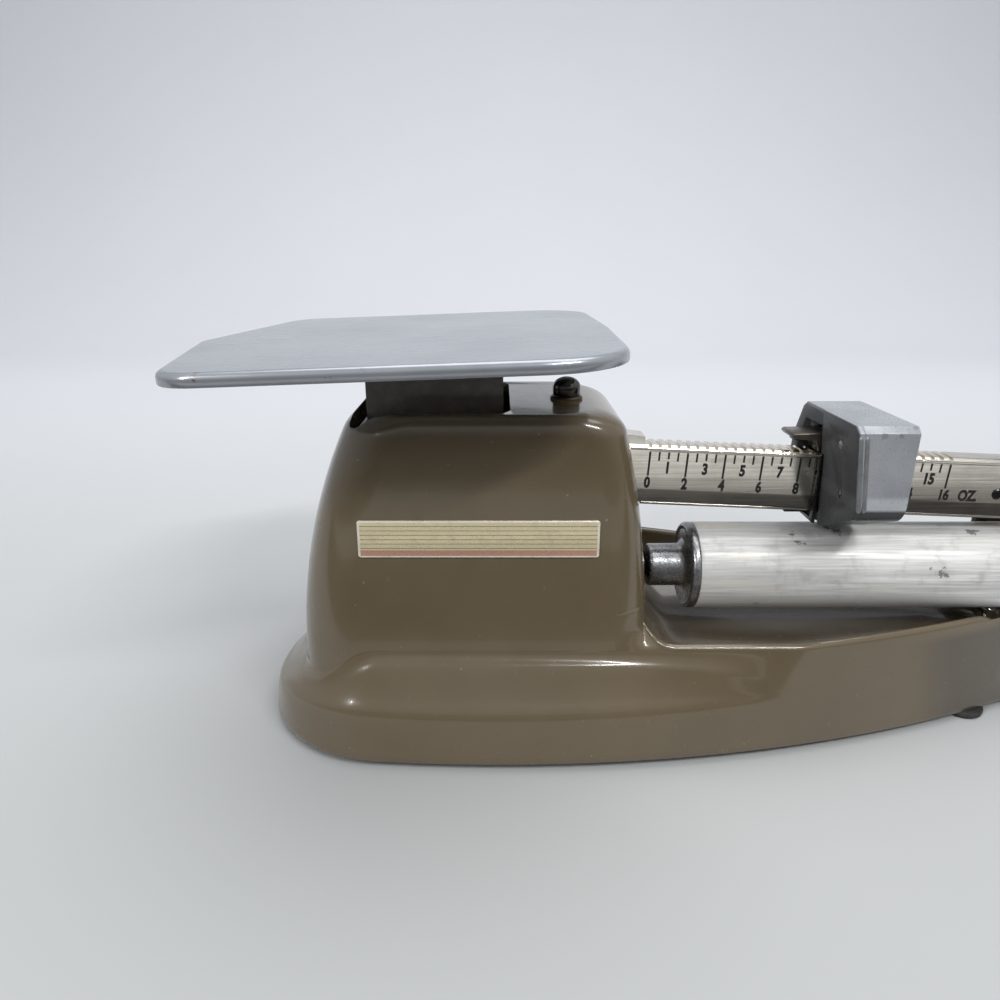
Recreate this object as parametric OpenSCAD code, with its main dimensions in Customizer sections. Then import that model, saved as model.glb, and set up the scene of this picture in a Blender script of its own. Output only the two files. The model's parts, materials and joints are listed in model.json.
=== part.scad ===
// Beam-type postal scale: enamelled cast housing, sliding poise on a notched
// beam, letter pan on a knife-edge linkage and a rate drum in a trough.
// Millimetres. +X runs along the beam, +Y away from the reader, +Z up, and
// z = 0 is the table. Inside this file x = 0 lies near the tower's middle;
// at_origin() shifts every piece so that the finished part is centred on x = 0.

/* [Housing] */
// Height of the tower's flat top above the table
tower_h = 90.4; // [89:0.1:98]
// Left side of the tower at the crease
tower_left = -52.5; // [-56:0.1:-49]
// Right side of the tower at the crease
tower_right = 38.4; // [37:0.1:41]
// Half depth of the tower at the crease
tower_half = 27.7; // [26:0.1:30]
// Half depth of the tower at its top
tower_top_half = 24.5; // [23:0.1:26]
// Radius of the bowed left flank
left_bow_r = 143; // [120:1:200]
// Radius of the bowed right flank
right_bow_r = 250; // [200:1:400]
// Corner radius of the tower's left corners, seen from above
left_corner_r = 14; // [8:0.5:18]
// Corner radius of the tower's right corners, seen from above
right_corner_r = 9; // [6:0.5:14]
// Height of the crease where the skirt meets the tower
crease_z = 28.7; // [26:0.1:31]
// Gap between the casting's lower edge and the table
edge_gap = 2.2; // [1.6:0.1:3]
// Half width of the base at its widest
base_half = 37; // [35:0.1:42]
// Share of its height that the skirt loses at the left end
end_drop = 0.36; // [0.3:0.01:0.38]
// Radius of the long side curves of the base, seen from above
side_r = 400; // [380:1:440]
// Middle of the round left end of the base
end_x = -30; // [-32:0.5:-26]
// Middle of the round nose at the right end
nose_x = 151; // [149:0.5:152]
// Wall thickness of the casting
wall = 2.8; // [2.2:0.1:3.4]

/* [Trough] */
// Height of the front rail
front_rail_z = 31.5; // [30:0.1:33]
// Height of the rear rail where it leaves the tower
rear_rail_z = 44.2; // [38:0.1:46]
// Fall of the rear rail for each millimetre to the right
rear_fall = 0.13; // [0.12:0.005:0.16]
// Height of the trough's floor
floor_z = 24.5; // [23:0.1:25.5]
// Thickness of the rails at their top
rail_t = 2.6; // [2:0.1:3]
// Rise of the front rail where it sweeps up the tower's corner
sweep_rise = 6.2; // [4:0.1:8]

/* [Beam] */
// Drop from the tower's top to the fulcrum edge
fulcrum_drop = 24.4; // [24:0.1:26]
// Place of the fulcrum along the scale
fulcrum_x = -4; // [-5:0.1:-3]
// Distance from the fulcrum edge to the load edge
load_arm = 12; // [11:0.1:13]
// Angle of the beam below level as it rests on its lower stop
beam_rest = 2.54; // [2:0.01:3]
// Depth of the beam's face
beam_h = 16.4; // [15:0.1:17.5]
// Width of the beam over its two faces
beam_w = 8.2; // [7.4:0.1:9]
// Height of the beam's top above the fulcrum edge
beam_rise = 14.1; // [13.5:0.1:14.6]
// Sheet thickness of the beam
beam_t = 1.3; // [1:0.1:1.5]
// Distance from the fulcrum to the zero mark
zero_at = 43.3; // [43:0.1:45]
// Length of one ounce on the beam
ounce = 5.02; // [4.9:0.01:5.1]
// Weight in ounces that the beam reads up to
capacity = 16; // [16:1:16]
// Weight in ounces at which the poise stands
reading = 8.86; // [0:0.01:16]
// Width of a notch in the beam's top
notch_w = 0.9; // [0.6:0.1:1.2]
// Depth of a notch in the beam's top
notch_d = 0.7; // [0.4:0.1:0.9]

/* [Poise] */
// Length of the poise along the beam at its top
poise_w = 14.4; // [13:0.1:16]
// Reach of the poise in front of the beam's middle
poise_front = 23.9; // [20:0.1:26]
// Reach of the poise behind the beam's middle
poise_back = 8.4; // [7.8:0.1:10]
// Rise of the poise's top above the beam's top edge
poise_over = 11.5; // [10.5:0.1:13]
// Gap between the poise and the drum where the poise stands
poise_clear = 2.1; // [1.9:0.1:2.3]
// Gap between the poise and the beam
poise_gap = 0.45; // [0.35:0.05:0.6]

/* [Pan] */
// Rise of the pan's top above the tower's top, at its middle
pan_rise = 16.2; // [15:0.1:22]
// Lean of the pan towards its left end
pan_lean = 2.12; // [0:0.01:3]
// Middle of the pan along the scale
pan_x = -26.7; // [-28:0.1:-24]
// Half depth of the pan
pan_half = 54.4; // [52:0.1:62]
// Left corners of the pan, measured from its middle
pan_left = 39.3; // [36:0.1:42]
// Left point of the pan, measured from its middle
pan_left_tip = 50.6; // [47:0.1:54]
// Right corners of the pan, measured from its middle
pan_right = 53; // [48:0.1:54]
// Right point of the pan, measured from its middle
pan_right_tip = 54.6; // [52:0.1:56]
// Radius of the pan's left corners and of its two points
pan_corner = 10; // [7:0.5:12]
// Radius of the pan's right corners
pan_right_corner = 18; // [12:0.5:20]
// Depth of the pan's turned-down rim
rim_h = 2.9; // [2.2:0.1:4]
// Sheet thickness of the pan
pan_t = 1.2; // [0.9:0.1:1.4]
// Width of the bracket that carries the pan
bracket_w = 33.6; // [30:0.1:35]
// Half depth of the bracket over its two legs
bracket_half = 13.6; // [13.2:0.1:14.4]
// Plate thickness of the bracket
bracket_t = 1.6; // [1.4:0.1:1.8]

/* [Rate drum] */
// Radius of the drum
drum_r = 12.2; // [11:0.1:12.4]
// Wall thickness of the drum's tube
drum_wall = 1.6; // [1.2:0.1:2]
// Drop from the fulcrum edge to the drum's axis
drum_drop = 24; // [23.6:0.1:24.3]
// Left end of the drum's body
drum_x0 = 51.9; // [51:0.1:53]
// Right end of the drum's body
drum_x1 = 145.8; // [140:0.1:146]
// Radius of the drum's hub
hub_r = 6; // [5:0.1:6.5]
// Radius of the pivot pins
pivot_r = 2; // [1.6:0.1:2.4]
// Radial clearance of every turning fit
fit = 0.05; // [0.03:0.01:0.08]

/* [Hidden] */
$fn = 48;

// Small lengths that several pieces share
eps = 0.02;
over = 1;

// Derived places of the base
nose_r = half_at(nose_x);
end_r = side_r - norm([end_x, side_r - base_half]);
end_join = end_x * side_r / (side_r - end_r);
x_left = pan_x - pan_left_tip * cos(pan_lean);
x_right = nose_x + nose_r;
x_mid = (x_left + x_right) / 2;
plate_z = edge_gap + 0.8;
plate_t = 1.2;
plate_top = plate_z + plate_t;
plate_inset = wall + 0.5;
skirt_low = edge_gap + 1.6;
tower_lean = (tower_half - tower_top_half) / (tower_h - crease_z);
bow_z = crease_z - 3.7;

// Derived heights that follow the tower
fulcrum_z = tower_h - fulcrum_drop;
drum_z = fulcrum_z - drum_drop;
pan_z = tower_h + pan_rise;

// Derived places of the beam, in its own frame with the fulcrum at the origin
beam_top = beam_rise;
beam_low = beam_rise - beam_h;
scale_len = ounce * capacity;
beam_start = zero_at - 11.5;
beam_end = zero_at + scale_len + 22.5;
rivet_at = zero_at + scale_len + 14.6;
tip_pin_at = beam_end + 4.5;
tip_pin_z = beam_low + beam_h / 2 - 0.6;
tip_pin_r = 1.5;
index_at = zero_at + ounce * reading;

// Derived places of the poise
index_x = fulcrum_x + index_at * cos(beam_rest) + beam_rise * sin(beam_rest);
poise_x0 = index_x - 0.6;
poise_x1 = index_x + poise_w;
poise_left = index_x - 3.3;
poise_foot = drum_z + drum_r + poise_clear;
poise_top = beam_line(index_x, beam_top) + poise_over;

// Derived places of the pan and its bracket
bracket_x = fulcrum_x - load_arm;
load_x = fulcrum_x - load_arm * cos(beam_rest);
load_z = fulcrum_z + load_arm * sin(beam_rest);
link_z = 24;
link_pin_r = 1.5;
link_far_z = link_z + load_arm * sin(beam_rest);
knife_gap = 0.17;
leg_x0 = bracket_x - bracket_w / 2;
leg_x1 = bracket_x + bracket_w / 2;
mouth_x0 = leg_x0 - 3.7;
mouth_x1 = leg_x1 + 1.7;
mouth_half = bracket_half + 7;
mouth_low = tower_h - wall - 4;

// Derived places of the stand
cheek_in = 8.2;
cheek_t = 2.6;
cheek_out = cheek_in + cheek_t;
bearing_low = fulcrum_z - 6;

// Derived places of the drum, its pivots and the right end
cap_t = 2.4;
hub_len = 10.3;
hub_x0 = drum_x0 - hub_len;
seat_x = tower_right - pow(drum_z - bow_z, 2) / (2 * right_bow_r) - 0.4;
collar_r = 4.6;
pylon_x0 = drum_x1 + 3.4;
pylon_x1 = x_right - 1;
pylon_r = 6.4;
guide_x0 = 142.1;
guide_x1 = guide_x0 + 13.9;
guide_y = drum_r + 0.5;
guide_t = 2.3;
guide_top = fulcrum_z + 20;
guide_step = 2.8;

// Adjusting screw on the tower's top
adjust_x = 17.2;
adjust_y = -3;
adjust_r = 2;

// Shift every piece from this file's x to the finished part's x
module at_origin() {
    translate([-x_mid, 0, 0]) children();
}

// The beam's frame, tilted to its lower stop about the fulcrum edge
module beam_frame() {
    translate([fulcrum_x, 0, fulcrum_z]) rotate([0, beam_rest, 0]) children();
}

// The pan's frame, with the top of the pan's middle at the origin
module pan_frame() {
    translate([pan_x, 0, pan_z]) rotate([0, -pan_lean, 0]) children();
}

// Prism of an outline in y and z, from x0 to x1
module prism_x(points, x0, x1) {
    translate([x0, 0, 0]) rotate([90, 0, 90]) linear_extrude(x1 - x0) polygon(points);
}

// Prism of an outline in x and z, from y0 to y1
module prism_y(points, y0, y1) {
    translate([0, y1, 0]) rotate([90, 0, 0]) linear_extrude(y1 - y0) polygon(points);
}

// Prism of an outline in x and y, from z0 to z1
module prism_z(points, z0, z1) {
    translate([0, 0, z0]) linear_extrude(z1 - z0) polygon(points);
}

// Round bar along X, Y or Z
module rod_x(r, x0, x1) {
    translate([x0, 0, 0]) rotate([0, 90, 0]) cylinder(r = r, h = x1 - x0);
}
module rod_y(r, y0, y1) {
    translate([0, y1, 0]) rotate([90, 0, 0]) cylinder(r = r, h = y1 - y0);
}
module rod_z(r, z0, z1) {
    translate([0, 0, z0]) cylinder(r = r, h = z1 - z0);
}

// Revolve of an outline in radius and x, about the X axis
module turned_x(points) {
    rotate([0, 90, 0]) rotate_extrude($fn = 72) polygon([for (p = points) [p[1], p[0]]]);
}

// Revolve of an outline in radius and z, about the Z axis
module turned_z(points) {
    rotate_extrude($fn = 72) polygon([for (p = points) [p[1], p[0]]]);
}

// Points of an arc from angle a0 to a1 in n steps
function arc(c, r, a0, a1, n) =
    [for (i = [0:n]) let (a = a0 + (a1 - a0) * i / n) c + r * [cos(a), sin(a)]];

// Rounded rectangle with its own radius for the left and the right corners
function box_outline(x0, x1, half, rl, rr, n) = concat(
    arc([x1 - rr, half - rr], rr, 0, 90, n),
    arc([x0 + rl, half - rl], rl, 90, 180, n),
    arc([x0 + rl, rl - half], rl, 180, 270, n),
    arc([x1 - rr, rr - half], rr, 270, 360, n)
);

// Convex outline with every corner rounded to radius r, or to its own when r is a list
function unit(v) = v / norm(v);
function rounded(points, r, n) = [
    for (i = [0:len(points) - 1])
        let (p = points[i])
        let (a = unit(points[(i + len(points) - 1) % len(points)] - p))
        let (b = unit(points[(i + 1) % len(points)] - p))
        let (bend = acos(max(-1, min(1, a * b))))
        let (own = is_list(r) ? r[i] : r)
        let (c = p + unit(a + b) * own / sin(bend / 2))
        let (s = p + a * own / tan(bend / 2) - c)
        let (start = atan2(s[1], s[0]))
        for (q = arc(c, own, start, start + 180 - bend, n)) q
];

// A list in its opposite order
function backward(list) = [for (i = [len(list) - 1:-1:0]) list[i]];

// A flat outline lifted to height z
function lifted(points, z) = [for (p = points) [p[0], p[1], z]];

// Closed skin over rings that all have the same number of points
module loft(rings) {
    n = len(rings[0]);
    m = len(rings);
    flat = [for (ring = rings) for (p = ring) p];
    sides = [
        for (j = [0:m - 2]) for (i = [0:n - 1])
            let (a = j * n + i)
            let (b = j * n + (i + 1) % n)
            for (face = [[a, a + n, b], [b, a + n, b + n]]) face
    ];
    first = [[for (i = [0:n - 1]) i]];
    last = [[for (i = [n - 1:-1:0]) (m - 1) * n + i]];
    polyhedron(flat, concat(first, sides, last));
}

// The same skin over cross-sections that follow each other along +X
module loft_x(sections) {
    loft([for (ring = sections) backward(ring)]);
}

// Housing: half width of the base's lower edge at x
function half_at(x) = base_half - side_r + sqrt(side_r * side_r - x * x);
function edge_half(x) =
    x <= nose_x ? half_at(x) : sqrt(max(0.04, nose_r * nose_r - pow(x - nose_x, 2)));

// Housing: half width of the walls that stand on the skirt
function wall_half(x) = min(tower_half, edge_half(x) - min(1.8, edge_half(x) / 4));

// Housing: the skirt's profile, as heights and shares of the way in
skirt = [
    [edge_gap, 0.02], [skirt_low, 0], [8, 0.03], [13, 0.09], [16.4, 0.17],
    [18.6, 0.3], [22.2, 0.52], [25.2, 0.69], [27.4, 0.83], [crease_z, 1]
];

// Housing: tower flanks at height z
function flank_left(z) = tower_left
    + (z < bow_z ? 0 : left_bow_r - sqrt(pow(left_bow_r, 2) - pow(z - bow_z, 2)));
function flank_right(z) = tower_right
    - (z < bow_z ? 0 : right_bow_r - sqrt(pow(right_bow_r, 2) - pow(z - bow_z, 2)));
function flank_half(z) = tower_half - (z - crease_z) * tower_lean;

// Housing: one level of the tower, drawn in by inset and by the edge's rounding
edge_left = 4.5;
edge_right = 8;
edge_front = 2.6;
edge_down = 5.2;
function tower_level(z, inset, turn) = lifted(
    box_outline(
        flank_left(z) + inset + edge_left * (1 - cos(turn)),
        flank_right(z) - inset - edge_right * (1 - cos(turn)),
        flank_half(z) - inset - edge_front * (1 - cos(turn)),
        left_corner_r - inset, right_corner_r - inset, inset > 0 ? 3 : 6
    ),
    z - inset
);
function tower_rings(inset, low) = concat(
    [tower_level(low, inset, 0)],
    [for (t = inset > 0 ? [0.4, 0.85] : [0:0.22:0.88])
        tower_level(crease_z + (tower_h - crease_z - edge_down) * t, inset, 0)],
    [for (a = [0:(inset > 0 ? 45 : 18):90]) tower_level(tower_h - edge_down * (1 - sin(a)), inset, a)]
);

// Housing: height that rails and floor gain as they sweep up the tower wall
trough_x = tower_right - right_corner_r + 0.2;
sweep_x = tower_right - 1.9;
floor_sweep_r = 12;
function ease(t) = let (s = max(0, min(1, t))) s * s * (3 - 2 * s);
function rail_sweep(x) = sweep_rise * ease((sweep_x + 8 - x) / 12);
function floor_sweep(x) = let (d = max(0, min(floor_sweep_r, sweep_x + 1.5 + floor_sweep_r - x)))
    floor_sweep_r - sqrt(floor_sweep_r * floor_sweep_r - d * d);

// Housing: how far both rails dip under the drum's right end
dip_x = 131;
dip_len = 12;
dip = 3.4;
function rail_dip(x) = dip * ease((x - dip_x) / dip_len);
function front_top(x) = front_rail_z - rail_dip(x) + rail_sweep(x);
function rear_top(x) = max(front_rail_z, rear_rail_z - rear_fall * max(0, x - tower_right)
    - 8 * ease((x - dip_x) / (nose_x - dip_x))) - rail_dip(x) + rail_sweep(x) / 3;

// Housing: cross-section of the base at x, from the front edge over to the rear
function skirt_side(x, side) = let (h = edge_half(x)) let (w = wall_half(x))
    [for (p = skirt) [x, side * (h - (h - w) * p[1]), p[0]]];
function trough_side(x, side, floor_top, rail_top) =
    let (w = max(1, wall_half(x) - rail_t))
    [for (t = [22.5:22.5:90]) [x, side * w * sin(t), floor_top + (rail_top - floor_top) * (1 - cos(t))]];
function rail_crown(x, side, z) =
    let (y = wall_half(x) - (z - crease_z) * tower_lean - rail_t / 2)
    [for (q = arc([y, z - rail_t / 2], rail_t / 2, 0, 90, 2)) [x, side * q[0], q[1]]];
function base_section(x) =
    let (f = front_top(x))
    let (r = rear_top(x))
    let (sunk = floor_z - rail_dip(x) / 3 + floor_sweep(x))
    let (low = min(f - 0.6, sunk + 8 * ease((x - nose_x + 8) / 6)))
    concat(
        skirt_side(x, -1),
        rail_crown(x, -1, f),
        backward(trough_side(x, -1, low, f - 0.5)),
        [[x, 0, low]],
        trough_side(x, 1, low, r - 0.5),
        backward(rail_crown(x, 1, r)),
        backward(skirt_side(x, 1))
    );
trough_stations = [
    trough_x, 32.5, sweep_x - 1.5, sweep_x + 1.5, sweep_x + 3.5, sweep_x + 6, sweep_x + 9,
    sweep_x + 13.5, 66, 80, 90, 99, 108, 120, dip_x, 135, 139, 143, 145, 147, nose_x
];

// Housing: the skirt below the tower, and its round left end as one level at height z
function skirt_section(x) = concat(skirt_side(x, -1), backward(skirt_side(x, 1)));
join_turn = atan2(half_at(end_join), end_join - end_x);
function crease_at(t) = (tower_half + 0.1) - 2.3 * sin(180 * t);
function end_height(z, t) = edge_gap + (z - edge_gap) * (1 - end_drop * pow(sin(180 * t), 2));
function end_level(p, inset, x) =
    let (n = inset > 0 ? 10 : 18)
    let (y = half_at(end_join) - (half_at(end_join) - tower_half) * p[1] - inset * 1.1)
    concat(
        [[x, y, p[0] - inset]],
        [for (i = [1:n - 1])
            let (t = i / n)
            let (a = join_turn + (360 - 2 * join_turn) * t)
            let (r = end_r - (end_r - crease_at(t)) * p[1] - inset)
            [end_x + r * cos(a), r * sin(a), end_height(p[0], t) - inset]],
        [[x, -y, p[0] - inset]]
    );
end_levels = concat(skirt, [[crease_z, 1.6]]);

// Housing: the round nose at the right, as levels that continue the last cross-section
nose_levels = concat(
    [for (p = skirt) [p[0], nose_r - (nose_r - wall_half(nose_x)) * p[1]]],
    [for (q = rail_crown(nose_x, 1, front_top(nose_x))) [q[2], q[1]]]
);
function nose_level(p) = [for (a = [-90:15:90]) [nose_x + p[1] * cos(a), p[1] * sin(a), p[0]]];

// Housing: hollow of the base, open below
roof_z = floor_z - wall;
function hollow_side(x, side) =
    let (h = edge_half(x) - wall)
    let (w = wall_half(x) - wall)
    concat(
        [[x, side * h, -over]],
        [for (p = skirt) if (p[0] > skirt_low && p[0] < roof_z - 1) [x, side * (h - (h - w) * p[1]), p[0]]],
        [[x, side * (w - 2), roof_z]]
    );
function hollow_section(x) = concat(hollow_side(x, -1), backward(hollow_side(x, 1)));
hollow_stations = [end_join, 0, 40, 70, 92, 110, 126, 140];

// Screw bosses that hold the bottom plate: x, y and radius
bosses = [[-44, 15, 4], [-44, -15, 4], [62, 15, 4], [62, -15, 4], [128, 0, 4]];
boss_pilot = 1.3;

hollow_levels = concat([[0, 0]], [for (i = [2, 4, 6, 9]) skirt[i]]);
module casting() {
    difference() {
        union() {
            loft(tower_rings(0, 14));
            loft_x([for (x = [end_join, -16, 0, 16, trough_x]) skirt_section(x)]);
            loft_x([for (x = trough_stations) base_section(x)]);
            loft([for (p = end_levels) end_level(p, 0, end_join)]);
            loft([for (p = nose_levels) nose_level(p)]);
            pylon();
            guide_pad();
        }
        difference() {
            union() {
                loft(tower_rings(wall, 14 - over));
                loft_x([for (x = hollow_stations) hollow_section(x)]);
                loft([for (p = hollow_levels) end_level(p, wall, end_join + 3)]);
            }
            for (b = bosses) translate([b[0], b[1], plate_top + eps]) cylinder(r = b[2], h = crease_z, $fn = 20);
        }
        prism_z(plate_outline(plate_inset - plate_play), -over, plate_top + eps);
    }
}
module housing() {
    length = x_right - end_x + end_r;
    at_origin() color([0.42, 0.37, 0.3]) difference() {
        resize([length, 0, 0]) casting();
        for (b = bosses) translate([b[0], b[1], 0]) rod_z(boss_pilot, plate_top - over, plate_top + 9);
        prism_z(box_outline(mouth_x0, mouth_x1, mouth_half, 4, 4, 4), mouth_low, tower_h + over);
        beam_slot();
        translate([adjust_x, adjust_y, 0]) rod_z(bush_r, tower_h - wall - over, tower_h + over);
        translate([0, 0, drum_z]) rod_x(pivot_shank_r + eps, seat_x - wall - 4, seat_x + over);
        translate([0, 0, drum_z]) rod_x(collar_r + 0.1, seat_x, seat_x + 4);
        translate([0, 0, drum_z]) rod_x(pivot_r + 0.5 + eps, pylon_x0 - over, pylon_x1 - 2);
        for (z = guide_holes) translate([guide_mid, 0, z]) rod_y(boss_pilot, guide_y - 6, guide_y + over);
        translate([0, plug_y, plug_z]) rod_x(plug_stem, tower_left - over, tower_left + wall + 3);
    }
}

// Domed plug in the hole of the tower's left wall, above the skirt
plug_r = 4.4;
plug_stem = 2.8;
plug_rise = 2.6;
plug_y = 1.5;
plug_z = end_height(crease_z, 0.5) + plug_r + 0.4;
module side_plug() {
    x = tower_left - eps;
    at_origin() color([0.42, 0.37, 0.3]) translate([0, plug_y, plug_z]) turned_x(concat(
        [[x - plug_rise, 0]],
        [for (a = [15:15:90]) [x - plug_rise * cos(a), plug_r * sin(a)]],
        [[x, plug_stem - eps], [tower_left + wall + 1.6, plug_stem - eps],
            [tower_left + wall + 2.2, plug_stem - 0.8], [tower_left + wall + 2.2, 0]]
    ));
}

// Ear at the nose that carries the drum's right pivot
module pylon() {
    prism_x(concat([[-pylon_r, roof_z], [pylon_r, roof_z]], arc([0, drum_z], pylon_r, 0, 180, 14)),
        pylon_x0, pylon_x1 - 1.2);
}

// Cast pad on the rear of the nose for the guide post
guide_mid = (guide_x0 + guide_x1) / 2;
guide_holes = [12, 22];
module guide_pad() {
    z1 = guide_holes[1] + 5;
    prism_y(box_flat(guide_x0 + 0.7, guide_x1 - 1.4, skirt_low + 0.3, z1), 1, guide_y);
}

// Slot in the tower's right wall for the beam, high enough for its swing
slot_half = beam_w / 2 + 2.4;
slot_low = fulcrum_z + beam_low - (tower_right - fulcrum_x) * tan(beam_rest) - 1.6;
slot_high = fulcrum_z + beam_top + (tower_right - fulcrum_x) * tan(beam_rest) + 3.2;
module beam_slot() {
    corner = 2;
    translate([20, 0, 0]) rotate([0, 90, 0]) linear_extrude(30)
        polygon(box_outline(-slot_high, -slot_low, slot_half, corner, corner, 4));
}

// Outline of the bottom plate, drawn in by inset from the casting's edge
plate_end = 136;
plate_lead = [for (x = [0:12:132]) x];
plate_play = 0.4;
function plate_outline(inset) = concat(
    [for (x = plate_lead) [x, inset - edge_half(x)]],
    arc([plate_end, 0], edge_half(plate_end) - inset, -60, 60, 6),
    [for (x = backward(plate_lead)) [x, edge_half(x) - inset]],
    arc([end_x, 0], end_r - inset, 90, 270, 20)
);
module bottom_plate() {
    at_origin() color([0.2, 0.2, 0.21]) difference() {
        prism_z(plate_outline(plate_inset), plate_z, plate_top);
        for (b = bosses) translate([b[0], b[1], 0]) rod_z(1.7, plate_z - over, plate_top + over);
        for (s = stand_holes) translate([s[0], s[1], 0]) rod_z(1.7, plate_z - over, plate_top + over);
    }
}

// Feet: the left pair sits under the bottom plate, the right pair under the casting's edge
feet = [[-36, -20, plate_z], [-36, 20, plate_z], [134.5, -9.4, edge_gap], [134.5, 9.4, edge_gap]];
foot_r = 5.6;
module rubber_feet() {
    at_origin() color([0.06, 0.06, 0.06]) for (f = feet) translate([f[0], f[1], 0])
        turned_z([[0, 0], [0, foot_r - 0.7], [0.5, foot_r - 0.2], [f[2] - 0.6, foot_r],
            [f[2] - eps, foot_r - 0.2], [f[2] - eps, 0]]);
}

module bottom_screws() {
    at_origin() color([0.55, 0.55, 0.57]) for (b = bosses) translate([b[0], b[1], 0])
        turned_z([
            [plate_z - 1.6, 0], [plate_z - 1.6, 1.8], [plate_z - 1, 2.7], [plate_z, 2.9],
            [plate_z, boss_pilot - eps], [plate_top + 8, boss_pilot - eps], [plate_top + 8, 0]
        ]);
}

// Nameplate on the tower's front, left without any lettering
plate_len = 58.8;
plate_high = 9.4;
plate_mid_x = -5.2;
plate_mid_z = tower_h - 29.8;
module nameplate() {
    thick = 0.5;
    y = flank_half(plate_mid_z);
    at_origin() color([0.85, 0.8, 0.6]) translate([plate_mid_x, -y, plate_mid_z])
        rotate([-atan(tower_lean), 0, 0])
        prism_y(box_outline(-plate_len / 2, plate_len / 2, plate_high / 2, 0.6, 0.6, 3), -thick, -eps);
}

// Fulcrum stand: a foot on the bottom plate and two cheeks that hold the bearings
stand_x0 = fulcrum_x - 13;
stand_x1 = fulcrum_x + 13;
stand_half = 18;
stand_foot = 3;
stand_holes = [for (x = [stand_x0 + 4, stand_x1 - 4]) for (y = [-14, 14]) [x, y]];
module fulcrum_stand() {
    foot_top = plate_top + stand_foot;
    cheek = [
        [fulcrum_x - 9, foot_top - 1], [fulcrum_x + 9, foot_top - 1],
        [fulcrum_x + 6.5, foot_top + 5], [fulcrum_x + 5, bearing_low],
        [fulcrum_x - 5, bearing_low], [fulcrum_x - 6.5, foot_top + 5]
    ];
    at_origin() color([0.5, 0.51, 0.52]) difference() {
        union() {
            prism_z(box_outline(stand_x0, stand_x1, stand_half, 3, 3, 4), plate_top + eps, foot_top);
            for (y = [-cheek_out, cheek_in]) prism_y(cheek, y, y + cheek_t);
            translate([fulcrum_x, 0, foot_top + 3.5]) prism_y(
                [[-1.5, -4], [1.5, -4], [1.5, 3], [-1.5, 3]], -cheek_in - 1, cheek_in + 1);
        }
        translate([fulcrum_x, 0, link_z]) rod_y(link_pin_r, -cheek_out - over, cheek_out + over);
        translate([fulcrum_x, 0, link_z + 18]) rod_y(3.2, -cheek_out - over, cheek_out + over);
        for (s = stand_holes) translate([s[0], s[1], 0]) rod_z(1.7, plate_top - over, foot_top + over);
    }
}

// Hardened blocks with a vee that opens upwards under the fulcrum knife
module fulcrum_bearings() {
    deep = fulcrum_z - knife_gap;
    vee = [[-5, bearing_low + eps], [5, bearing_low + eps], [5, deep + 2.6], [2.6, deep + 2.6], [0, deep],
        [-2.6, deep + 2.6], [-5, deep + 2.6]];
    at_origin() color([0.62, 0.62, 0.6]) translate([fulcrum_x, 0, 0])
        for (y = [-cheek_out - 0.2, cheek_in - 0.2]) prism_y(vee, y, y + cheek_t + 0.4);
}

module stand_screws() {
    head = plate_top + stand_foot;
    at_origin() color([0.55, 0.55, 0.57]) for (s = stand_holes) translate([s[0], s[1], 0])
        turned_z([[plate_z - 0.1, 0], [plate_z - 0.1, 1.65], [head + eps, 1.65], [head + eps, 3],
            [head + 1.4, 2.7], [head + 2, 1.6], [head + 2, 0]]);
}

module base_link_pin() {
    head = cheek_out + 1;
    at_origin() color([0.6, 0.6, 0.62]) translate([fulcrum_x, 0, link_z])
        rotate([90, 0, 0]) turned_z([[-head, 0], [-head, 2.4], [-cheek_out - eps, 2.4],
            [-cheek_out - eps, link_pin_r - eps], [cheek_out + 0.5, link_pin_r - eps], [cheek_out + 0.5, 0]]);
}

// Adjusting screw and its bush on the tower's top
bush_r = 4.2;
module adjuster_bush() {
    at_origin() color([0.3, 0.28, 0.24]) translate([adjust_x, adjust_y, 0]) difference() {
        turned_z([[tower_h - wall - 2.4, 0], [tower_h - wall - 2.4, bush_r - 0.6],
            [tower_h - wall - 1.8, bush_r - eps], [tower_h + 0.5, bush_r - eps],
            [tower_h + 0.9, bush_r - 0.4], [tower_h + 0.9, 0]]);
        rod_z(adjust_r + fit, tower_h - wall - 3, tower_h + 2);
    }
}
module adjusting_screw() {
    low = tower_h - 13;
    cap = tower_h + 1.1;
    at_origin() color([0.2, 0.2, 0.2]) translate([adjust_x, adjust_y, 0]) difference() {
        turned_z(concat(
            [[low, 0], [low, 1.2], [low + 0.8, adjust_r], [cap, adjust_r], [cap, 3.5], [cap + 2, 3.6]],
            [for (a = [15:15:75]) [cap + 2 + 2.6 * sin(a), 3.6 * cos(a)]],
            [[cap + 4.6, 0]]
        ));
        translate([0, 0, cap + 4.1]) cube([9, 0.8, 1.6], center = true);
    }
}

// Left pivot of the drum: a shank with a nut inside the tower, collar and pin
pivot_shank_r = 3;
module left_pivot() {
    at_origin() color([0.08, 0.08, 0.08]) translate([0, 0, drum_z]) turned_x([
        [seat_x - wall - 5.5, 0], [seat_x - wall - 5.5, pivot_shank_r - 0.4],
        [seat_x - wall - 5, pivot_shank_r - eps], [seat_x + eps, pivot_shank_r - eps],
        [seat_x + eps, collar_r - 0.3], [seat_x + 0.6, collar_r], [hub_x0 - 1.2, collar_r],
        [hub_x0 - 0.5, collar_r - 0.6], [hub_x0 - 0.5, pivot_r], [drum_x0 - 1, pivot_r],
        [drum_x0 - 0.4, pivot_r - 0.6], [drum_x0 - 0.4, 0]
    ]);
}
module pivot_nut() {
    inner = flank_right(drum_z + 5) - wall;
    at_origin() color([0.5, 0.5, 0.52]) translate([inner - 3.4, 0, drum_z]) rotate([0, 90, 0])
        difference() {
            cylinder(r = 5.4, h = 3, $fn = 6);
            translate([0, 0, -over]) cylinder(r = pivot_shank_r, h = 5, $fn = 48);
        }
}
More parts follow.
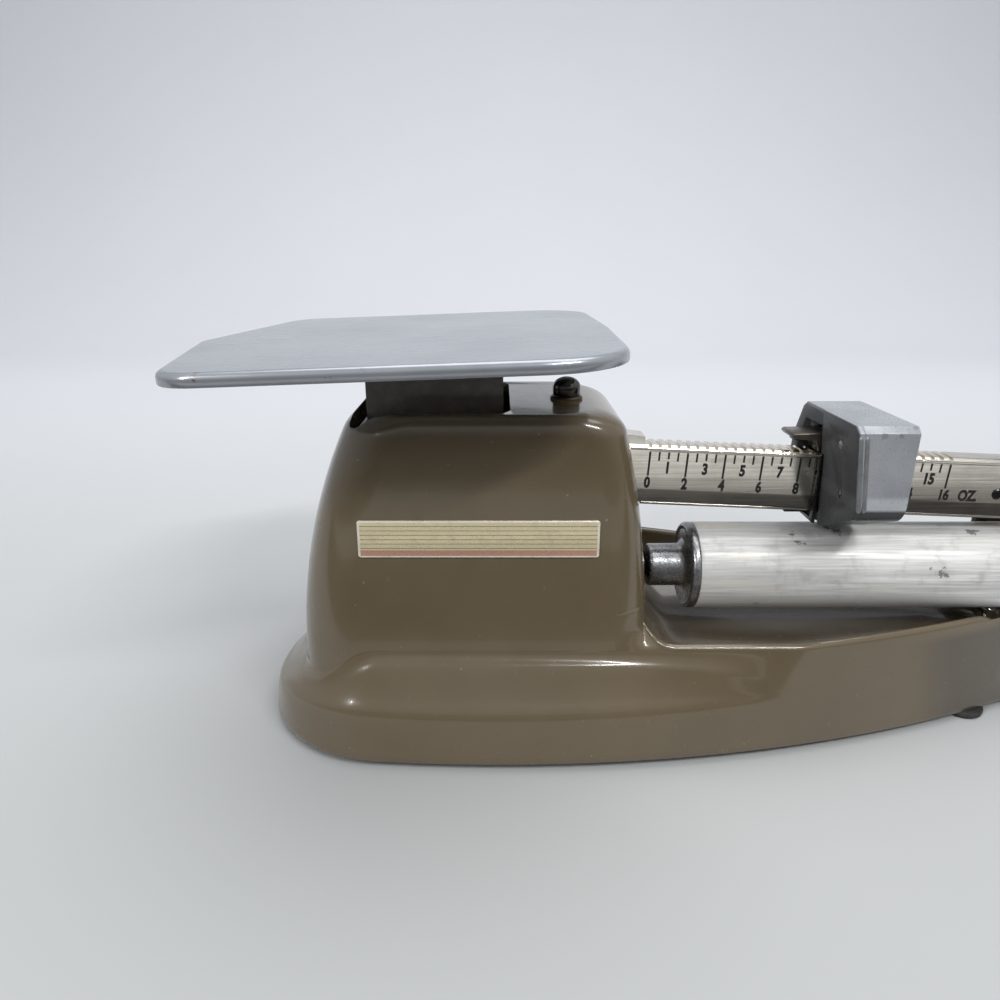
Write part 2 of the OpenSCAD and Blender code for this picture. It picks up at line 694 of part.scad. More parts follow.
module right_pivot() {
    at_origin() color([0.08, 0.08, 0.08]) translate([0, 0, drum_z]) turned_x([
        [drum_x1 - 4.4, 0], [drum_x1 - 4.4, pivot_r - 0.6], [drum_x1 - 3.8, pivot_r],
        [pylon_x0 - 0.5, pivot_r], [pylon_x0 - 0.5, 3.4], [pylon_x0 - eps, 3.4],
        [pylon_x0 - eps, pivot_r + 0.5], [pylon_x1 - 2.2, pivot_r + 0.5], [pylon_x1 - 2.2, 0]
    ]);
}

// Guide post: an upright plate with the window that stops the beam's swing
function tip_place(turn) = [
    fulcrum_x + tip_pin_at * cos(turn) - tip_pin_z * sin(turn),
    fulcrum_z + tip_pin_at * sin(turn) + tip_pin_z * cos(turn)
];
tip_low = tip_place(-beam_rest);
tip_high = tip_place(beam_rest);
stop_gap = 0.25;
module guide_post() {
    y1 = guide_y + guide_t;
    x_pin = tip_low[0];
    at_origin() color([0.2, 0.18, 0.16]) difference() {
        prism_y(concat(
            [[guide_x0 + 1, skirt_low + 1], [guide_x1 - 1, skirt_low + 1]],
            [[guide_x1, skirt_low + 2], [guide_x1, guide_top - 5]],
            arc([guide_x1 - 5, guide_top - 5], 5, 0, 90, 5),
            arc([guide_x0 + guide_step + 4, guide_top - 4], 4, 90, 180, 5),
            [[guide_x0 + guide_step, fulcrum_z + 2], [guide_x0, fulcrum_z - 5], [guide_x0, skirt_low + 2]]
        ), guide_y + eps, y1);
        prism_y(box_flat(x_pin - 2.4, x_pin + 2.4,
            tip_low[1] - tip_pin_r - stop_gap, tip_high[1] + tip_pin_r + stop_gap),
            guide_y - over, y1 + over);
        for (z = guide_holes) translate([guide_mid, 0, z]) rod_y(1.6, guide_y - over, y1 + over);
    }
}
function box_flat(x0, x1, z0, z1) = [[x0, z0], [x1, z0], [x1, z1], [x0, z1]];
module guide_screws() {
    y1 = guide_y + guide_t;
    at_origin() color([0.55, 0.55, 0.57]) for (z = guide_holes) translate([guide_mid, 0, z])
        rotate([-90, 0, 0]) turned_z([[guide_y - 5, 0], [guide_y - 5, boss_pilot - eps],
            [y1 + eps, boss_pilot - eps], [y1 + eps, 2.8], [y1 + 1, 2.6], [y1 + 1.6, 1.6], [y1 + 1.6, 0]]);
}

// Beam: a channel, open below, with a notch for every half ounce
neck_at = zero_at - 1.2;
module beam() {
    half = beam_w / 2;
    bend = 1.4;
    outside = concat(
        [[-half, beam_low], [half, beam_low]],
        arc([half - bend, beam_top - bend], bend, 0, 90, 4),
        arc([bend - half, beam_top - bend], bend, 90, 180, 4)
    );
    inside = box_flat(-half + beam_t, half - beam_t, beam_low - over, beam_top - beam_t);
    at_origin() beam_frame() color([0.72, 0.7, 0.66]) difference() {
        union() {
            prism_x(outside, beam_start, beam_end);
            prism_y([[neck_at - 6.5, beam_top - 1], [neck_at, beam_top - 1], [neck_at - 0.4, beam_top + 2],
                [neck_at - 5.4, beam_top + 2.4]], -half + 1, half - 1);
        }
        prism_x(inside, beam_start - over, beam_end + over);
        for (k = [0:capacity * 2]) translate([zero_at + k * ounce / 2, 0, beam_top])
            prism_y([[-notch_w / 2, -notch_d], [notch_w / 2, -notch_d], [notch_w * 0.7, over],
                [-notch_w * 0.7, over]], -half - over, half + over);
        prism_y(concat([[beam_start - over, beam_low - over], [neck_at, beam_low - over]],
            arc([neck_at - 2, beam_low - 0.5], 2, 15, 90, 4), [[beam_start - over, beam_low + 1.5]]),
            -half - over, half + over);
        translate([rivet_at, 0, tip_pin_z - 0.6]) rod_y(1.1, -half - over, half + over);
        for (x = lever_rivets) translate([x, 0, 4]) rod_y(1.2, -half - over, half + over);
    }
}

// Lever: the bar inside the tower that holds both knives and carries the beam
lever_half = beam_w / 2 - beam_t - 0.06;
lever_rivets = [beam_start + 2.4, beam_start + 6.6];
module lever() {
    shape = [
        [-load_arm - 6, -7.5], [-load_arm + 5, -7.5], [-4, -4], [beam_start - 6, -1],
        [beam_start + 24, beam_low + 2.4], [beam_start + 24, beam_top - beam_t - 0.1],
        [beam_start - 3, beam_top - beam_t - 0.1], [beam_start - 9, 9.4], [6, 8], [-load_arm - 6, 3.4]
    ];
    at_origin() beam_frame() color([0.55, 0.56, 0.55]) difference() {
        prism_y(shape, -lever_half, lever_half);
        prism_y(knife_up(-load_arm, 0), -lever_half - over, lever_half + over);
        prism_y(knife_down(0, 0), -lever_half - over, lever_half + over);
        for (x = lever_rivets) translate([x, 0, 4]) rod_y(1.2, -lever_half - over, lever_half + over);
        translate([16, 0, 3]) rod_y(2.6, -lever_half - over, lever_half + over);
    }
}

// Knives: five-sided bars with the working edge up or down
knife_t = 1.7;
function knife_up(x, z) = [[x, z], [x - knife_t, z - 3.4], [x - knife_t, z - 5.4],
    [x + knife_t, z - 5.4], [x + knife_t, z - 3.4]];
function knife_down(x, z) = [[x, z], [x + knife_t, z + 3.4], [x + knife_t, z + 5.4],
    [x - knife_t, z + 5.4], [x - knife_t, z + 3.4]];
module fulcrum_knife() {
    at_origin() beam_frame() color([0.7, 0.7, 0.72])
        prism_y(knife_down(0, 0), -cheek_out - 0.6, cheek_out + 0.6);
}
module load_knife() {
    at_origin() beam_frame() color([0.7, 0.7, 0.72])
        prism_y(knife_up(-load_arm, 0), -bracket_half - 0.6, bracket_half + 0.6);
}
module beam_rivets() {
    half = beam_w / 2;
    at_origin() beam_frame() color([0.72, 0.7, 0.66]) for (x = lever_rivets) translate([x, 0, 4])
        rotate([90, 0, 0]) turned_z([[-half - 0.5, 0], [-half - 0.5, 1.4], [-half - eps, 1.8],
            [-half - eps, 1.2 - eps], [half + eps, 1.2 - eps], [half + eps, 1.8], [half + 0.5, 1.4],
            [half + 0.5, 0]]);
}

// Beam tip: a plug in the channel's end whose pin plays in the guide's window
module beam_tip() {
    half = lever_half;
    shape = [
        [beam_end - 14, beam_low + 1], [beam_end, beam_low + 1], [tip_pin_at + 2, tip_pin_z - 2.4],
        [tip_pin_at + 3, tip_pin_z], [tip_pin_at + 2, tip_pin_z + 2.4], [beam_end, beam_top - beam_t - 0.1],
        [beam_end - 14, beam_top - beam_t - 0.1]
    ];
    at_origin() beam_frame() color([0.3, 0.28, 0.26]) difference() {
        union() {
            prism_y(shape, -half, half);
            translate([tip_pin_at, 0, tip_pin_z]) rod_y(tip_pin_r, half - over, guide_y + guide_t + 1.2);
        }
        translate([rivet_at, 0, tip_pin_z - 0.6]) rod_y(1.1, -half - over, half + over);
    }
}
module tip_rivet() {
    half = beam_w / 2;
    at_origin() beam_frame() color([0.2, 0.2, 0.2]) translate([rivet_at, 0, tip_pin_z - 0.6])
        rotate([90, 0, 0]) turned_z([[-half - 0.4, 0], [-half - 0.4, 1.1], [-half - eps, 1.6],
            [-half - eps, 1.1 - eps], [half + eps, 1.1 - eps], [half + eps, 1.6], [half + 0.4, 1.1],
            [half + 0.4, 0]]);
}

// Leaf on the lever that the adjusting screw bears on
module zero_spring() {
    leaf = [[7, 8.12], [13, 8.62], [17, 9.3], [22.5, 9.95], [22.5, 10.35], [16.8, 9.7], [12.8, 9.02],
        [7, 8.52]];
    at_origin() beam_frame() color([0.6, 0.55, 0.35]) prism_y(leaf, -2.4, 2.4);
}

// Poise: a die-cast weight that straddles the beam and hangs level on it
function beam_line(x, up) = fulcrum_z - (x - fulcrum_x) * tan(beam_rest) + up / cos(beam_rest);
slot_top = beam_line(poise_left, beam_top) + 1.9;
slot_foot = beam_line(poise_x1, beam_low) - poise_gap;
slot_side = beam_w / 2 + poise_gap;
poise_knee = 12;
module poise_shape(x0, x1) {
    prism_x(concat(
        [[poise_back, poise_foot + 0.6]],
        [[poise_back, poise_top - 1.5], [poise_back - 1.5, poise_top]],
        [[-poise_front + 1.5, poise_top], [-poise_front, poise_top - 1.5]],
        arc([-poise_front + 6, poise_foot + poise_knee], 6, 180, 235, 5),
        [[-poise_front + 11.4, poise_foot + 3.1], [-poise_front + 18.4, poise_foot], [poise_back - 0.6, poise_foot]]
    ), x0, x1);
}
// Left end of the poise behind the cover, cut to a slope, from height z up
function poise_slope(z) = [[poise_left, z], [poise_x1, z], [poise_x1, poise_top],
    [poise_x0 + 0.6, poise_top], [poise_left + 1, poise_top - 9.5]];
module poise_body() {
    at_origin() color([0.56, 0.57, 0.59]) difference() {
        union() {
            poise_shape(poise_x0 + cover_t, poise_x1);
            intersection() {
                poise_shape(poise_left, poise_x1 - 1);
                union() {
                    prism_y(poise_slope(poise_foot), slot_side, poise_back + over);
                    prism_y(poise_slope(slot_top - 1), eps - slot_side, poise_back + over);
                }
            }
        }
        prism_x(box_flat(-slot_side, slot_side, slot_foot, slot_top), poise_left - over, poise_x1 + over);
        translate([pawl_x, 0, pawl_z]) prism_y(pawl_pocket, -slot_side - 0.1, slot_side + 0.1);
        translate([pawl_x, 0, pawl_z]) rod_y(pawl_pin_r + eps, -slot_side - 7, poise_back + over);
        for (z = cover_screws) translate([0, cover_y, z]) rod_x(1.2, poise_x0, poise_x0 + cover_t + 4);
    }
}

// Side cover of the poise, in front of the beam
cover_t = 1.8;
cover_y = -14.5;
cover_screws = [68, 81];
module poise_cover() {
    at_origin() color([0.58, 0.59, 0.61]) difference() {
        intersection() {
            poise_shape(poise_x0, poise_x0 + cover_t - eps);
            prism_x(box_flat(-poise_front - over, -slot_side, poise_foot, poise_top), poise_x0 - over,
                poise_x0 + 3);
        }
        for (z = cover_screws) translate([0, cover_y, z]) rod_x(1.2, poise_x0 - over, poise_x0 + cover_t + 4);
    }
}
module poise_screws() {
    at_origin() color([0.4, 0.4, 0.42]) for (z = cover_screws) translate([0, cover_y, z])
        turned_x([[poise_x0 + 0.05, 0], [poise_x0 + 0.05, 1.2 - eps], [poise_x0 + cover_t + 3.6, 1.2 - eps],
            [poise_x0 + cover_t + 3.6, 0]]);
}

// Dark index plate on the poise's left side, with a point under the beam
module index_plate() {
    y = -slot_side;
    at_origin() color([0.1, 0.09, 0.08]) difference() {
        prism_x([[y - 0.1, slot_foot - 2.4], [y + 0.05, slot_foot - 2.4], [slot_side - 1, slot_foot - 2.4],
            [slot_side - 1, slot_foot - 0.6], [y + 0.4, slot_foot - 0.6], [y + 0.3, slot_top - 2],
            [y - 1.4, slot_top - 2], [y - 1.4, slot_foot - 2.4]], poise_x0 - 0.9, poise_x0 - eps);
        prism_y([[poise_x0 - 1, slot_foot - 4], [poise_x0 + 1, slot_foot - 4], [poise_x0 + 1, slot_foot - 2.3],
            [poise_x0 - 0.9, slot_foot - 1.6]], -12, 12);
    }
}

// Sprung pawl that drops into the notches, hinged across the poise's slot
pawl_pin_r = 1.1;
pawl_x = poise_x0 + 8.6;
pawl_z = slot_top + 2.4;
pawl_pocket = [[-20, -3], [3.4, -3], [3.4, 3.4], [-5, 3.4], [-9, 3.1], [-20, 3.1]];
module poise_pawl() {
    half = slot_side - 0.35;
    tooth_x = index_x - pawl_x;
    nose_z = beam_line(index_x, beam_top) - pawl_z;
    at_origin() color([0.22, 0.15, 0.1]) translate([pawl_x, 0, pawl_z]) difference() {
        union() {
            rod_y(2.6, -half, half);
            prism_y([[0, -2.6], [0, 2.4], [-8, 0.7], [-15, 0.6], [-15.6, 0], [-15, -0.8], [tooth_x - 1.2, -1.4],
                [tooth_x - 0.3, nose_z + 0.25], [tooth_x + 0.3, nose_z + 0.25], [tooth_x + 1.2, -2]], -half, half);
        }
        rod_y(pawl_pin_r + fit, -half - over, half + over);
    }
}
module pawl_pin() {
    at_origin() color([0.6, 0.6, 0.62]) translate([pawl_x, 0, pawl_z])
        rod_y(pawl_pin_r, -slot_side - 6.5, poise_back - 0.1);
}

// Bracket that carries the pan: a leaning top plate and two legs into the tower
function under_pan(x) = pan_z - (pan_t + eps) / cos(pan_lean) + (x - pan_x) * tan(pan_lean);
module platform_bracket() {
    waist = tower_h - 8;
    leg = [
        [leg_x0, under_pan(leg_x0)], [leg_x0, tower_h - 4], [bracket_x - 8, waist - 5], [bracket_x - 6, link_z + 6],
        [bracket_x - 4, link_z - 4], [bracket_x + 4, link_z - 4], [bracket_x + 6, link_z + 6],
        [bracket_x + 8, waist - 5], [leg_x1, tower_h - 4], [leg_x1, under_pan(leg_x1)]
    ];
    top = [
        [leg_x0, under_pan(leg_x0)], [leg_x0, under_pan(leg_x0) - bracket_t],
        [leg_x1, under_pan(leg_x1) - bracket_t], [leg_x1, under_pan(leg_x1)]
    ];
    at_origin() color([0.25, 0.22, 0.2]) difference() {
        union() {
            prism_y(top, -bracket_half, bracket_half);
            for (y = [-bracket_half, bracket_half - bracket_t]) prism_y(leg, y, y + bracket_t);
        }
        for (y = [-bracket_half, bracket_half - bracket_t]) {
            prism_y(box_flat(load_x - 5, load_x + 5, load_z - 8, load_z + 6), y - over, y + bracket_t + over);
        }
        translate([load_x, 0, link_far_z]) rod_y(link_pin_r, -bracket_half - over, bracket_half + over);
        for (p = pan_rivet_places) translate([p[0], p[1], 0]) rod_z(1.6, pan_z - 8, pan_z + 4);
    }
}

// Hardened blocks in the legs, with a vee that opens downwards over the load knife
module load_bearings() {
    apex = load_z + knife_gap;
    vee = [[-5 + eps, load_z + 6 - eps], [-5 + eps, apex - 2.4], [-2.4, apex - 2.4], [0, apex], [2.4, apex - 2.4],
        [5 - eps, apex - 2.4], [5 - eps, load_z + 6 - eps]];
    at_origin() color([0.62, 0.62, 0.6]) translate([load_x, 0, 0])
        for (y = [-bracket_half - 0.3, bracket_half - bracket_t - 0.3]) prism_y(vee, y, y + bracket_t + 0.6);
}
module platform_pin() {
    head = bracket_half + 0.9;
    at_origin() color([0.6, 0.6, 0.62]) translate([load_x, 0, link_far_z]) rotate([90, 0, 0])
        turned_z([[-head, 0], [-head, 2.4], [-bracket_half - eps, 2.4], [-bracket_half - eps, link_pin_r - eps],
            [bracket_half + 0.4, link_pin_r - eps], [bracket_half + 0.4, 0]]);
}

// Rivets that hold the pan on its bracket
pan_rivet_places = [for (x = [bracket_x - 10, bracket_x + 10]) for (y = [-8, 8]) [x, y]];
module pan_rivets() {
    at_origin() color([0.6, 0.6, 0.62]) for (p = pan_rivet_places)
        translate([p[0], p[1], under_pan(p[0])])
            turned_z([[-bracket_t - 0.9, 0], [-bracket_t - 0.9, 2], [-bracket_t - 0.1, 2.5],
                [-bracket_t - 0.1, 1.6 - eps], [pan_t - 0.15, 1.6 - eps], [pan_t - 0.15, 0]]);
}

// Pan: pressed sheet with long pointed ends and a rim turned down all round
function pan_outline(inset) = rounded([
    [-pan_left + inset, -pan_half + inset], [pan_right - inset, -pan_half + inset],
    [pan_right_tip - inset, 0], [pan_right - inset, pan_half - inset],
    [-pan_left + inset, pan_half - inset], [-pan_left_tip + inset, 0]
], [for (i = [0:5]) (i == 1 || i == 3 ? pan_right_corner : pan_corner) - inset], 6);
module pan() {
    lip = 1.4;
    outer = concat(
        [lifted(pan_outline(0), -rim_h)],
        [for (a = [0:22.5:90]) lifted(pan_outline(lip * (1 - cos(a))), -lip + lip * sin(a))]
    );
    inner = concat(
        [lifted(pan_outline(pan_t), -rim_h - over)],
        [lifted(pan_outline(pan_t), -lip)],
        [lifted(pan_outline(lip), -pan_t)]
    );
    at_origin() pan_frame() color([0.66, 0.68, 0.7]) difference() {
        loft(outer);
        loft(inner);
        for (p = pan_rivet_places)
            translate([(p[0] - pan_x) / cos(pan_lean), p[1], 0]) rod_z(1.62, -3, 2);
    }
}

// Check link that keeps the bracket upright
module check_link() {
    half = cheek_in - 0.6;
    eye = 4;
    at_origin() color([0.5, 0.51, 0.52]) translate([fulcrum_x, 0, link_z]) rotate([0, beam_rest, 0]) difference() {
        union() {
            rod_y(eye, -half, half);
            translate([-load_arm, 0, 0]) rod_y(eye, -half, half);
            prism_y(box_flat(-load_arm, 0, -2.2, 2.2), -half, half);
        }
        rod_y(link_pin_r + fit, -half - over, half + over);
        translate([-load_arm, 0, 0]) rod_y(link_pin_r + fit, -half - over, half + over);
    }
}

// Rate drum: a tube between two cast caps
drum_in = drum_r - drum_wall;
tube_x0 = drum_x0 + cap_t;
tube_x1 = drum_x1 - cap_t;
spigot = 6;
module drum_tube() {
    at_origin() color([0.72, 0.73, 0.72]) translate([0, 0, drum_z]) turned_x([
        [tube_x0 + eps, drum_in], [tube_x0 + eps, drum_r - 0.3], [tube_x0 + 0.3, drum_r],
        [tube_x1 - 0.3, drum_r], [tube_x1 - eps, drum_r - 0.3], [tube_x1 - eps, drum_in]
    ]);
}
module drum_cap_left() {
    bore = pivot_r + fit;
    root = 2;
    at_origin() color([0.4, 0.4, 0.41]) translate([0, 0, drum_z]) turned_x(concat(
        [[hub_x0, bore], [hub_x0, hub_r - 0.8], [hub_x0 + 0.8, hub_r]],
        [for (a = [0:30:90]) [drum_x0 - root + root * sin(a), hub_r + root - root * cos(a)]],
        [[drum_x0 + 0.4, drum_r - 1.6], [drum_x0, drum_r - 1.1], [drum_x0 + 0.4, drum_r - 0.3]],
        [[drum_x0 + 0.9, drum_r], [tube_x0, drum_r], [tube_x0, drum_in - eps]],
        [[tube_x0 + spigot, drum_in - eps], [tube_x0 + spigot, bore]]
    ));
}
module drum_cap_right() {
    bore = pivot_r + fit;
    at_origin() color([0.4, 0.4, 0.41]) translate([0, 0, drum_z]) turned_x([
        [tube_x1 - spigot, bore], [tube_x1 - spigot, drum_in - eps], [tube_x1, drum_in - eps],
        [tube_x1, drum_r], [drum_x1 - 0.9, drum_r], [drum_x1 - 0.4, drum_r - 0.3], [drum_x1, drum_r - 1.1],
        [drum_x1 - 0.4, drum_r - 1.6], [drum_x1 - 0.4, hub_r], [drum_x1 + 1.8, hub_r],
        [drum_x1 + 2.4, hub_r - 0.6], [drum_x1 + 2.4, bore]
    ]);
}

housing();
bottom_plate();
rubber_feet();
bottom_screws();
nameplate();
fulcrum_stand();
fulcrum_bearings();
stand_screws();
base_link_pin();
adjuster_bush();
adjusting_screw();
left_pivot();
pivot_nut();
right_pivot();
guide_post();
guide_screws();
side_plug();
beam();
lever();
fulcrum_knife();
load_knife();
beam_rivets();
beam_tip();
tip_rivet();
zero_spring();
poise_body();
poise_cover();
poise_screws();
index_plate();
poise_pawl();
pawl_pin();
platform_bracket();
load_bearings();
platform_pin();
pan_rivets();
pan();
check_link();
drum_tube();
drum_cap_left();
drum_cap_right();
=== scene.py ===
"""Looks of a beam-type postal scale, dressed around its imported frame.

Sizes are in the construction's millimetres: x runs along the beam, y away from the
reader and z up from the table. metres() takes them to the part's own frame.
"""

import json
import logging
import math
from collections.abc import Iterator
from contextlib import contextmanager
from dataclasses import dataclass
from enum import Enum

import bmesh
import bpy
import numpy as np
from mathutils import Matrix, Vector


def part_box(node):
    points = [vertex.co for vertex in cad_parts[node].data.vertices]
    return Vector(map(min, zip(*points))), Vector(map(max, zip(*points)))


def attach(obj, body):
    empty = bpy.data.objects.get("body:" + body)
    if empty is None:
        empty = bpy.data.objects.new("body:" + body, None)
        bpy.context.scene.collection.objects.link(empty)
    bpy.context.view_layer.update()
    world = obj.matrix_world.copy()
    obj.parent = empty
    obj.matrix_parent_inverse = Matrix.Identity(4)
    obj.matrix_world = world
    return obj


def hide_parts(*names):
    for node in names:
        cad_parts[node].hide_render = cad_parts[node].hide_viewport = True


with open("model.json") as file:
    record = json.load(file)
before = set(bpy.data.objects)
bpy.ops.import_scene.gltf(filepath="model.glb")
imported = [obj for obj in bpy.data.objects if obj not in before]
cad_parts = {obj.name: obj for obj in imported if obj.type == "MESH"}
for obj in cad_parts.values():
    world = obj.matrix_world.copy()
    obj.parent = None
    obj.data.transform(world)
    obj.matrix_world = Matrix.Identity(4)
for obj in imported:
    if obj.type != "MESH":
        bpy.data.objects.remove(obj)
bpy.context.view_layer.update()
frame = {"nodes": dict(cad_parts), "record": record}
log = logging.getLogger("postal_scale")

Array = np.ndarray
Colour = tuple[float, float, float]
Point = tuple[float, float, float]
Span = tuple[float, float]

# Angle in degrees above which an edge shows as a corner
CORNER = 35.0
# Distances in metres under which points are one: in grids, in CAD copies, in slivers
GRID_MERGE, COPY_MERGE, SLIVER = 2e-6, 3e-6, 1e-6

# The casting's left end in the construction's millimetres, and what it fixes
CASTING_LEFT = -65.762
MIDDLE_X = CASTING_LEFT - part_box("housing")[0].x * 1000.0


def metres(points: Array) -> Array:
    """Take points from the construction's millimetres to the part's metres.

    Args:
        points: Points as rows of x, y and z in millimetres.

    Returns:
        The same points in metres, with the part's middle at x = 0.
    """
    return (np.asarray(points, float) - [MIDDLE_X, 0.0, 0.0]) * 0.001


def ease(t: Array) -> Array:
    """Smooth step: 0 below 0, 1 above 1, three t squared less two t cubed between."""
    s = np.clip(t, 0.0, 1.0)
    return s * s * (3.0 - 2.0 * s)


def arc(centre: Span, radius: float, start: float, end: float, steps: int) -> Array:
    """Points of a circle's arc: centre plus radius times cosine and sine.

    Args:
        centre: Middle of the circle.
        radius: Radius of the circle.
        start: First angle in degrees.
        end: Last angle in degrees.
        steps: Number of stretches between the points.

    Returns:
        steps + 1 points as rows of two.
    """
    turn = np.radians(np.linspace(start, end, steps + 1))
    return np.stack([centre[0] + radius * np.cos(turn), centre[1] + radius * np.sin(turn)], axis=-1)


def through(points: Array, count: int) -> Array:
    """Smooth curve through given points, by Catmull and Rom's rule on whole arrays.

    Args:
        points: The points to pass, as rows.
        count: Number of points on the curve.

    Returns:
        The curve's points, evenly spread over the stretches.
    """
    knots = np.asarray(points, float)
    padded = np.concatenate([[2 * knots[0] - knots[1]], knots, [2 * knots[-1] - knots[-2]]])
    place = np.linspace(0.0, len(knots) - 1.0, count)
    first = np.minimum(place.astype(int), len(knots) - 2)
    t = (place - first)[:, None]
    a, b, c, d = (padded[first + k] for k in range(4))
    return 0.5 * (2 * b + (c - a) * t + (2 * a - 5 * b + 4 * c - d) * t**2
                  + (3 * b - a - 3 * c + d) * t**3)


def leaned(points: Array, degrees: float, origin: Point) -> Array:
    """Turn points about the Y axis and move them: x and z mix by cosine and sine.

    Args:
        points: Points as rows of x, y and z.
        degrees: Angle by which the right end sinks.
        origin: Where the turned frame's origin goes.

    Returns:
        The moved points.
    """
    turn = math.radians(degrees)
    p = np.asarray(points, float)
    x = p[..., 0] * math.cos(turn) + p[..., 2] * math.sin(turn)
    z = p[..., 2] * math.cos(turn) - p[..., 0] * math.sin(turn)
    return np.stack([x + origin[0], p[..., 1] + origin[1], z + origin[2]], axis=-1)


def revolved(profile: Array, height: float, turns: int) -> Array:
    """Carry a profile round an axis along x: radius times cosine and sine at each angle.

    Args:
        profile: Rows of place along the axis and radius.
        height: Height of the axis.
        turns: Number of points round the axis.

    Returns:
        A grid with one row for each profile point.
    """
    p = np.asarray(profile, float)
    turn = np.linspace(0.0, 2.0 * np.pi, turns, endpoint=False)
    u = p[:, 1, None] * np.cos(turn)
    v = p[:, 1, None] * np.sin(turn)
    along = np.broadcast_to(p[:, 0, None], u.shape)
    return np.stack([along, u, v + height], axis=-1)


def softened(outline: Array, radius: float, steps: int = 4) -> Array:
    """Round every corner of a closed outline by a quadratic curve.

    Each corner becomes the curve from a point before it to a point after it, with the
    corner as its control point.

    Args:
        outline: Corners as rows of two.
        radius: Distance from a corner to the curve's two ends.
        steps: Stretches in each curve.

    Returns:
        The rounded outline.
    """
    p = np.asarray(outline, float)
    back = np.roll(p, 1, axis=0) - p
    ahead = np.roll(p, -1, axis=0) - p
    back_len = np.linalg.norm(back, axis=1, keepdims=True)
    ahead_len = np.linalg.norm(ahead, axis=1, keepdims=True)
    reach = np.minimum(radius, 0.45 * np.minimum(back_len, ahead_len))
    start = p + back / back_len * reach
    end = p + ahead / ahead_len * reach
    t = np.linspace(0.0, 1.0, steps + 1)[None, :, None]
    curve = (1 - t) ** 2 * start[:, None] + 2 * t * (1 - t) * p[:, None] + t**2 * end[:, None]
    return curve.reshape(-1, 2)


def placed(name: str, data: bpy.types.ID) -> bpy.types.Object:
    """Make an object of some data and link it to the scene."""
    thing = bpy.data.objects.new(name, data)
    bpy.context.scene.collection.objects.link(thing)
    return thing


@contextmanager
def reworked(mesh: bpy.types.Mesh, merge: float) -> Iterator[bmesh.types.BMesh]:
    """Open a mesh with its doubles merged; after the edits its faces turn outwards.

    Args:
        mesh: The mesh, which the edits are stored to.
        merge: Distance in metres under which points are one.

    Yields:
        The editable mesh.
    """
    work = bmesh.new()
    work.from_mesh(mesh)
    bmesh.ops.remove_doubles(work, verts=work.verts, dist=merge)
    bmesh.ops.dissolve_degenerate(work, edges=work.edges, dist=SLIVER)
    yield work
    bmesh.ops.recalc_face_normals(work, faces=work.faces)
    work.to_mesh(mesh)
    work.free()


class Shell:
    """A mesh gathered from grids of points in the construction's millimetres."""

    def __init__(self) -> None:
        """Start with no points."""
        self.points: list[Array] = []
        self.faces: list[list[int]] = []
        self.total = 0

    def grid(self, rows: Array, closed: bool = True, ends: bool = True) -> "Shell":
        """Add a grid of points as four-sided faces.

        Args:
            rows: Points as rows by columns by three.
            closed: Whether the last column joins the first.
            ends: Whether the first and last rows are closed by a face.

        Returns:
            The shell itself.
        """
        count, width = rows.shape[:2]
        index = self.total + np.arange(count * width).reshape(count, width)
        left = index if closed else index[:, :-1]
        right = np.roll(index, -1, axis=1) if closed else index[:, 1:]
        quads = np.stack([left[:-1], right[:-1], right[1:], left[1:]], axis=-1)
        self.faces += quads.reshape(-1, 4).tolist()
        if ends:
            self.faces += [index[0, ::-1].tolist(), index[-1].tolist()]
        self.points.append(rows.reshape(-1, 3))
        self.total += count * width
        return self

    def prism(self, outline: Array, low: float, high: float, axis: str,
              edge: float) -> "Shell":
        """Add an outline pushed out along an axis, with its two rims drawn in.

        The outline shrinks towards its middle by edge at both ends, so that light
        catches the rims.

        Args:
            outline: Corners as rows of two, in x and z for "y", y and z for "x".
            low: Lower end along the axis.
            high: Upper end along the axis.
            axis: "x" or "y".
            edge: Width of the drawn-in rim.

        Returns:
            The shell itself.
        """
        p = np.asarray(outline, float)
        middle = (p.min(0) + p.max(0)) / 2
        half = np.maximum((p.max(0) - p.min(0)) / 2, 1e-6)
        small = middle + (p - middle) * (1 - edge / half)
        level = [(small, low), (p, low + edge), (p, high - edge), (small, high)]
        order = {"x": (2, 0, 1), "y": (0, 2, 1)}[axis]
        rows = [np.column_stack([q, np.full(len(q), z)])[:, order] for q, z in level]
        return self.grid(np.stack(rows))

    def mesh(self, name: str) -> bpy.types.Mesh:
        """Make the bare mesh of all grids, in metres."""
        mesh = bpy.data.meshes.new(name)
        mesh.from_pydata(metres(np.concatenate(self.points)).tolist(), [], self.faces)
        return mesh

    def build(self, name: str, sharp: float = CORNER) -> bpy.types.Object:
        """Make the object, with doubles merged, holes closed and faces outwards.

        Args:
            name: The object's name.
            sharp: Angle in degrees above which an edge shows as a corner.

        Returns:
            The object, at the origin.
        """
        mesh = self.mesh(name)
        with reworked(mesh, GRID_MERGE) as work:
            open_edges = [e for e in work.edges if e.is_boundary]
            if open_edges:
                bmesh.ops.holes_fill(work, edges=open_edges, sides=0)
        shade(mesh, sharp)
        return placed(name, mesh)


def shade(mesh: bpy.types.Mesh, sharp: float) -> None:
    """Shade a mesh smooth, with corners above an angle kept.

    Args:
        mesh: The mesh to shade.
        sharp: The angle in degrees.
    """
    mesh.polygons.foreach_set("use_smooth", np.ones(len(mesh.polygons), bool))
    mesh.set_sharp_from_angle(angle=math.radians(sharp))
    mesh.update()


def applied(piece: bpy.types.Object) -> bpy.types.Object:
    """Give an object the mesh that its modifiers make, and drop the modifiers."""
    bpy.context.view_layer.update()
    made = piece.evaluated_get(bpy.context.evaluated_depsgraph_get())
    mesh = bpy.data.meshes.new_from_object(made)
    piece.modifiers.clear()
    piece.data = mesh
    mesh.name = piece.name
    shade(mesh, CORNER)
    return piece


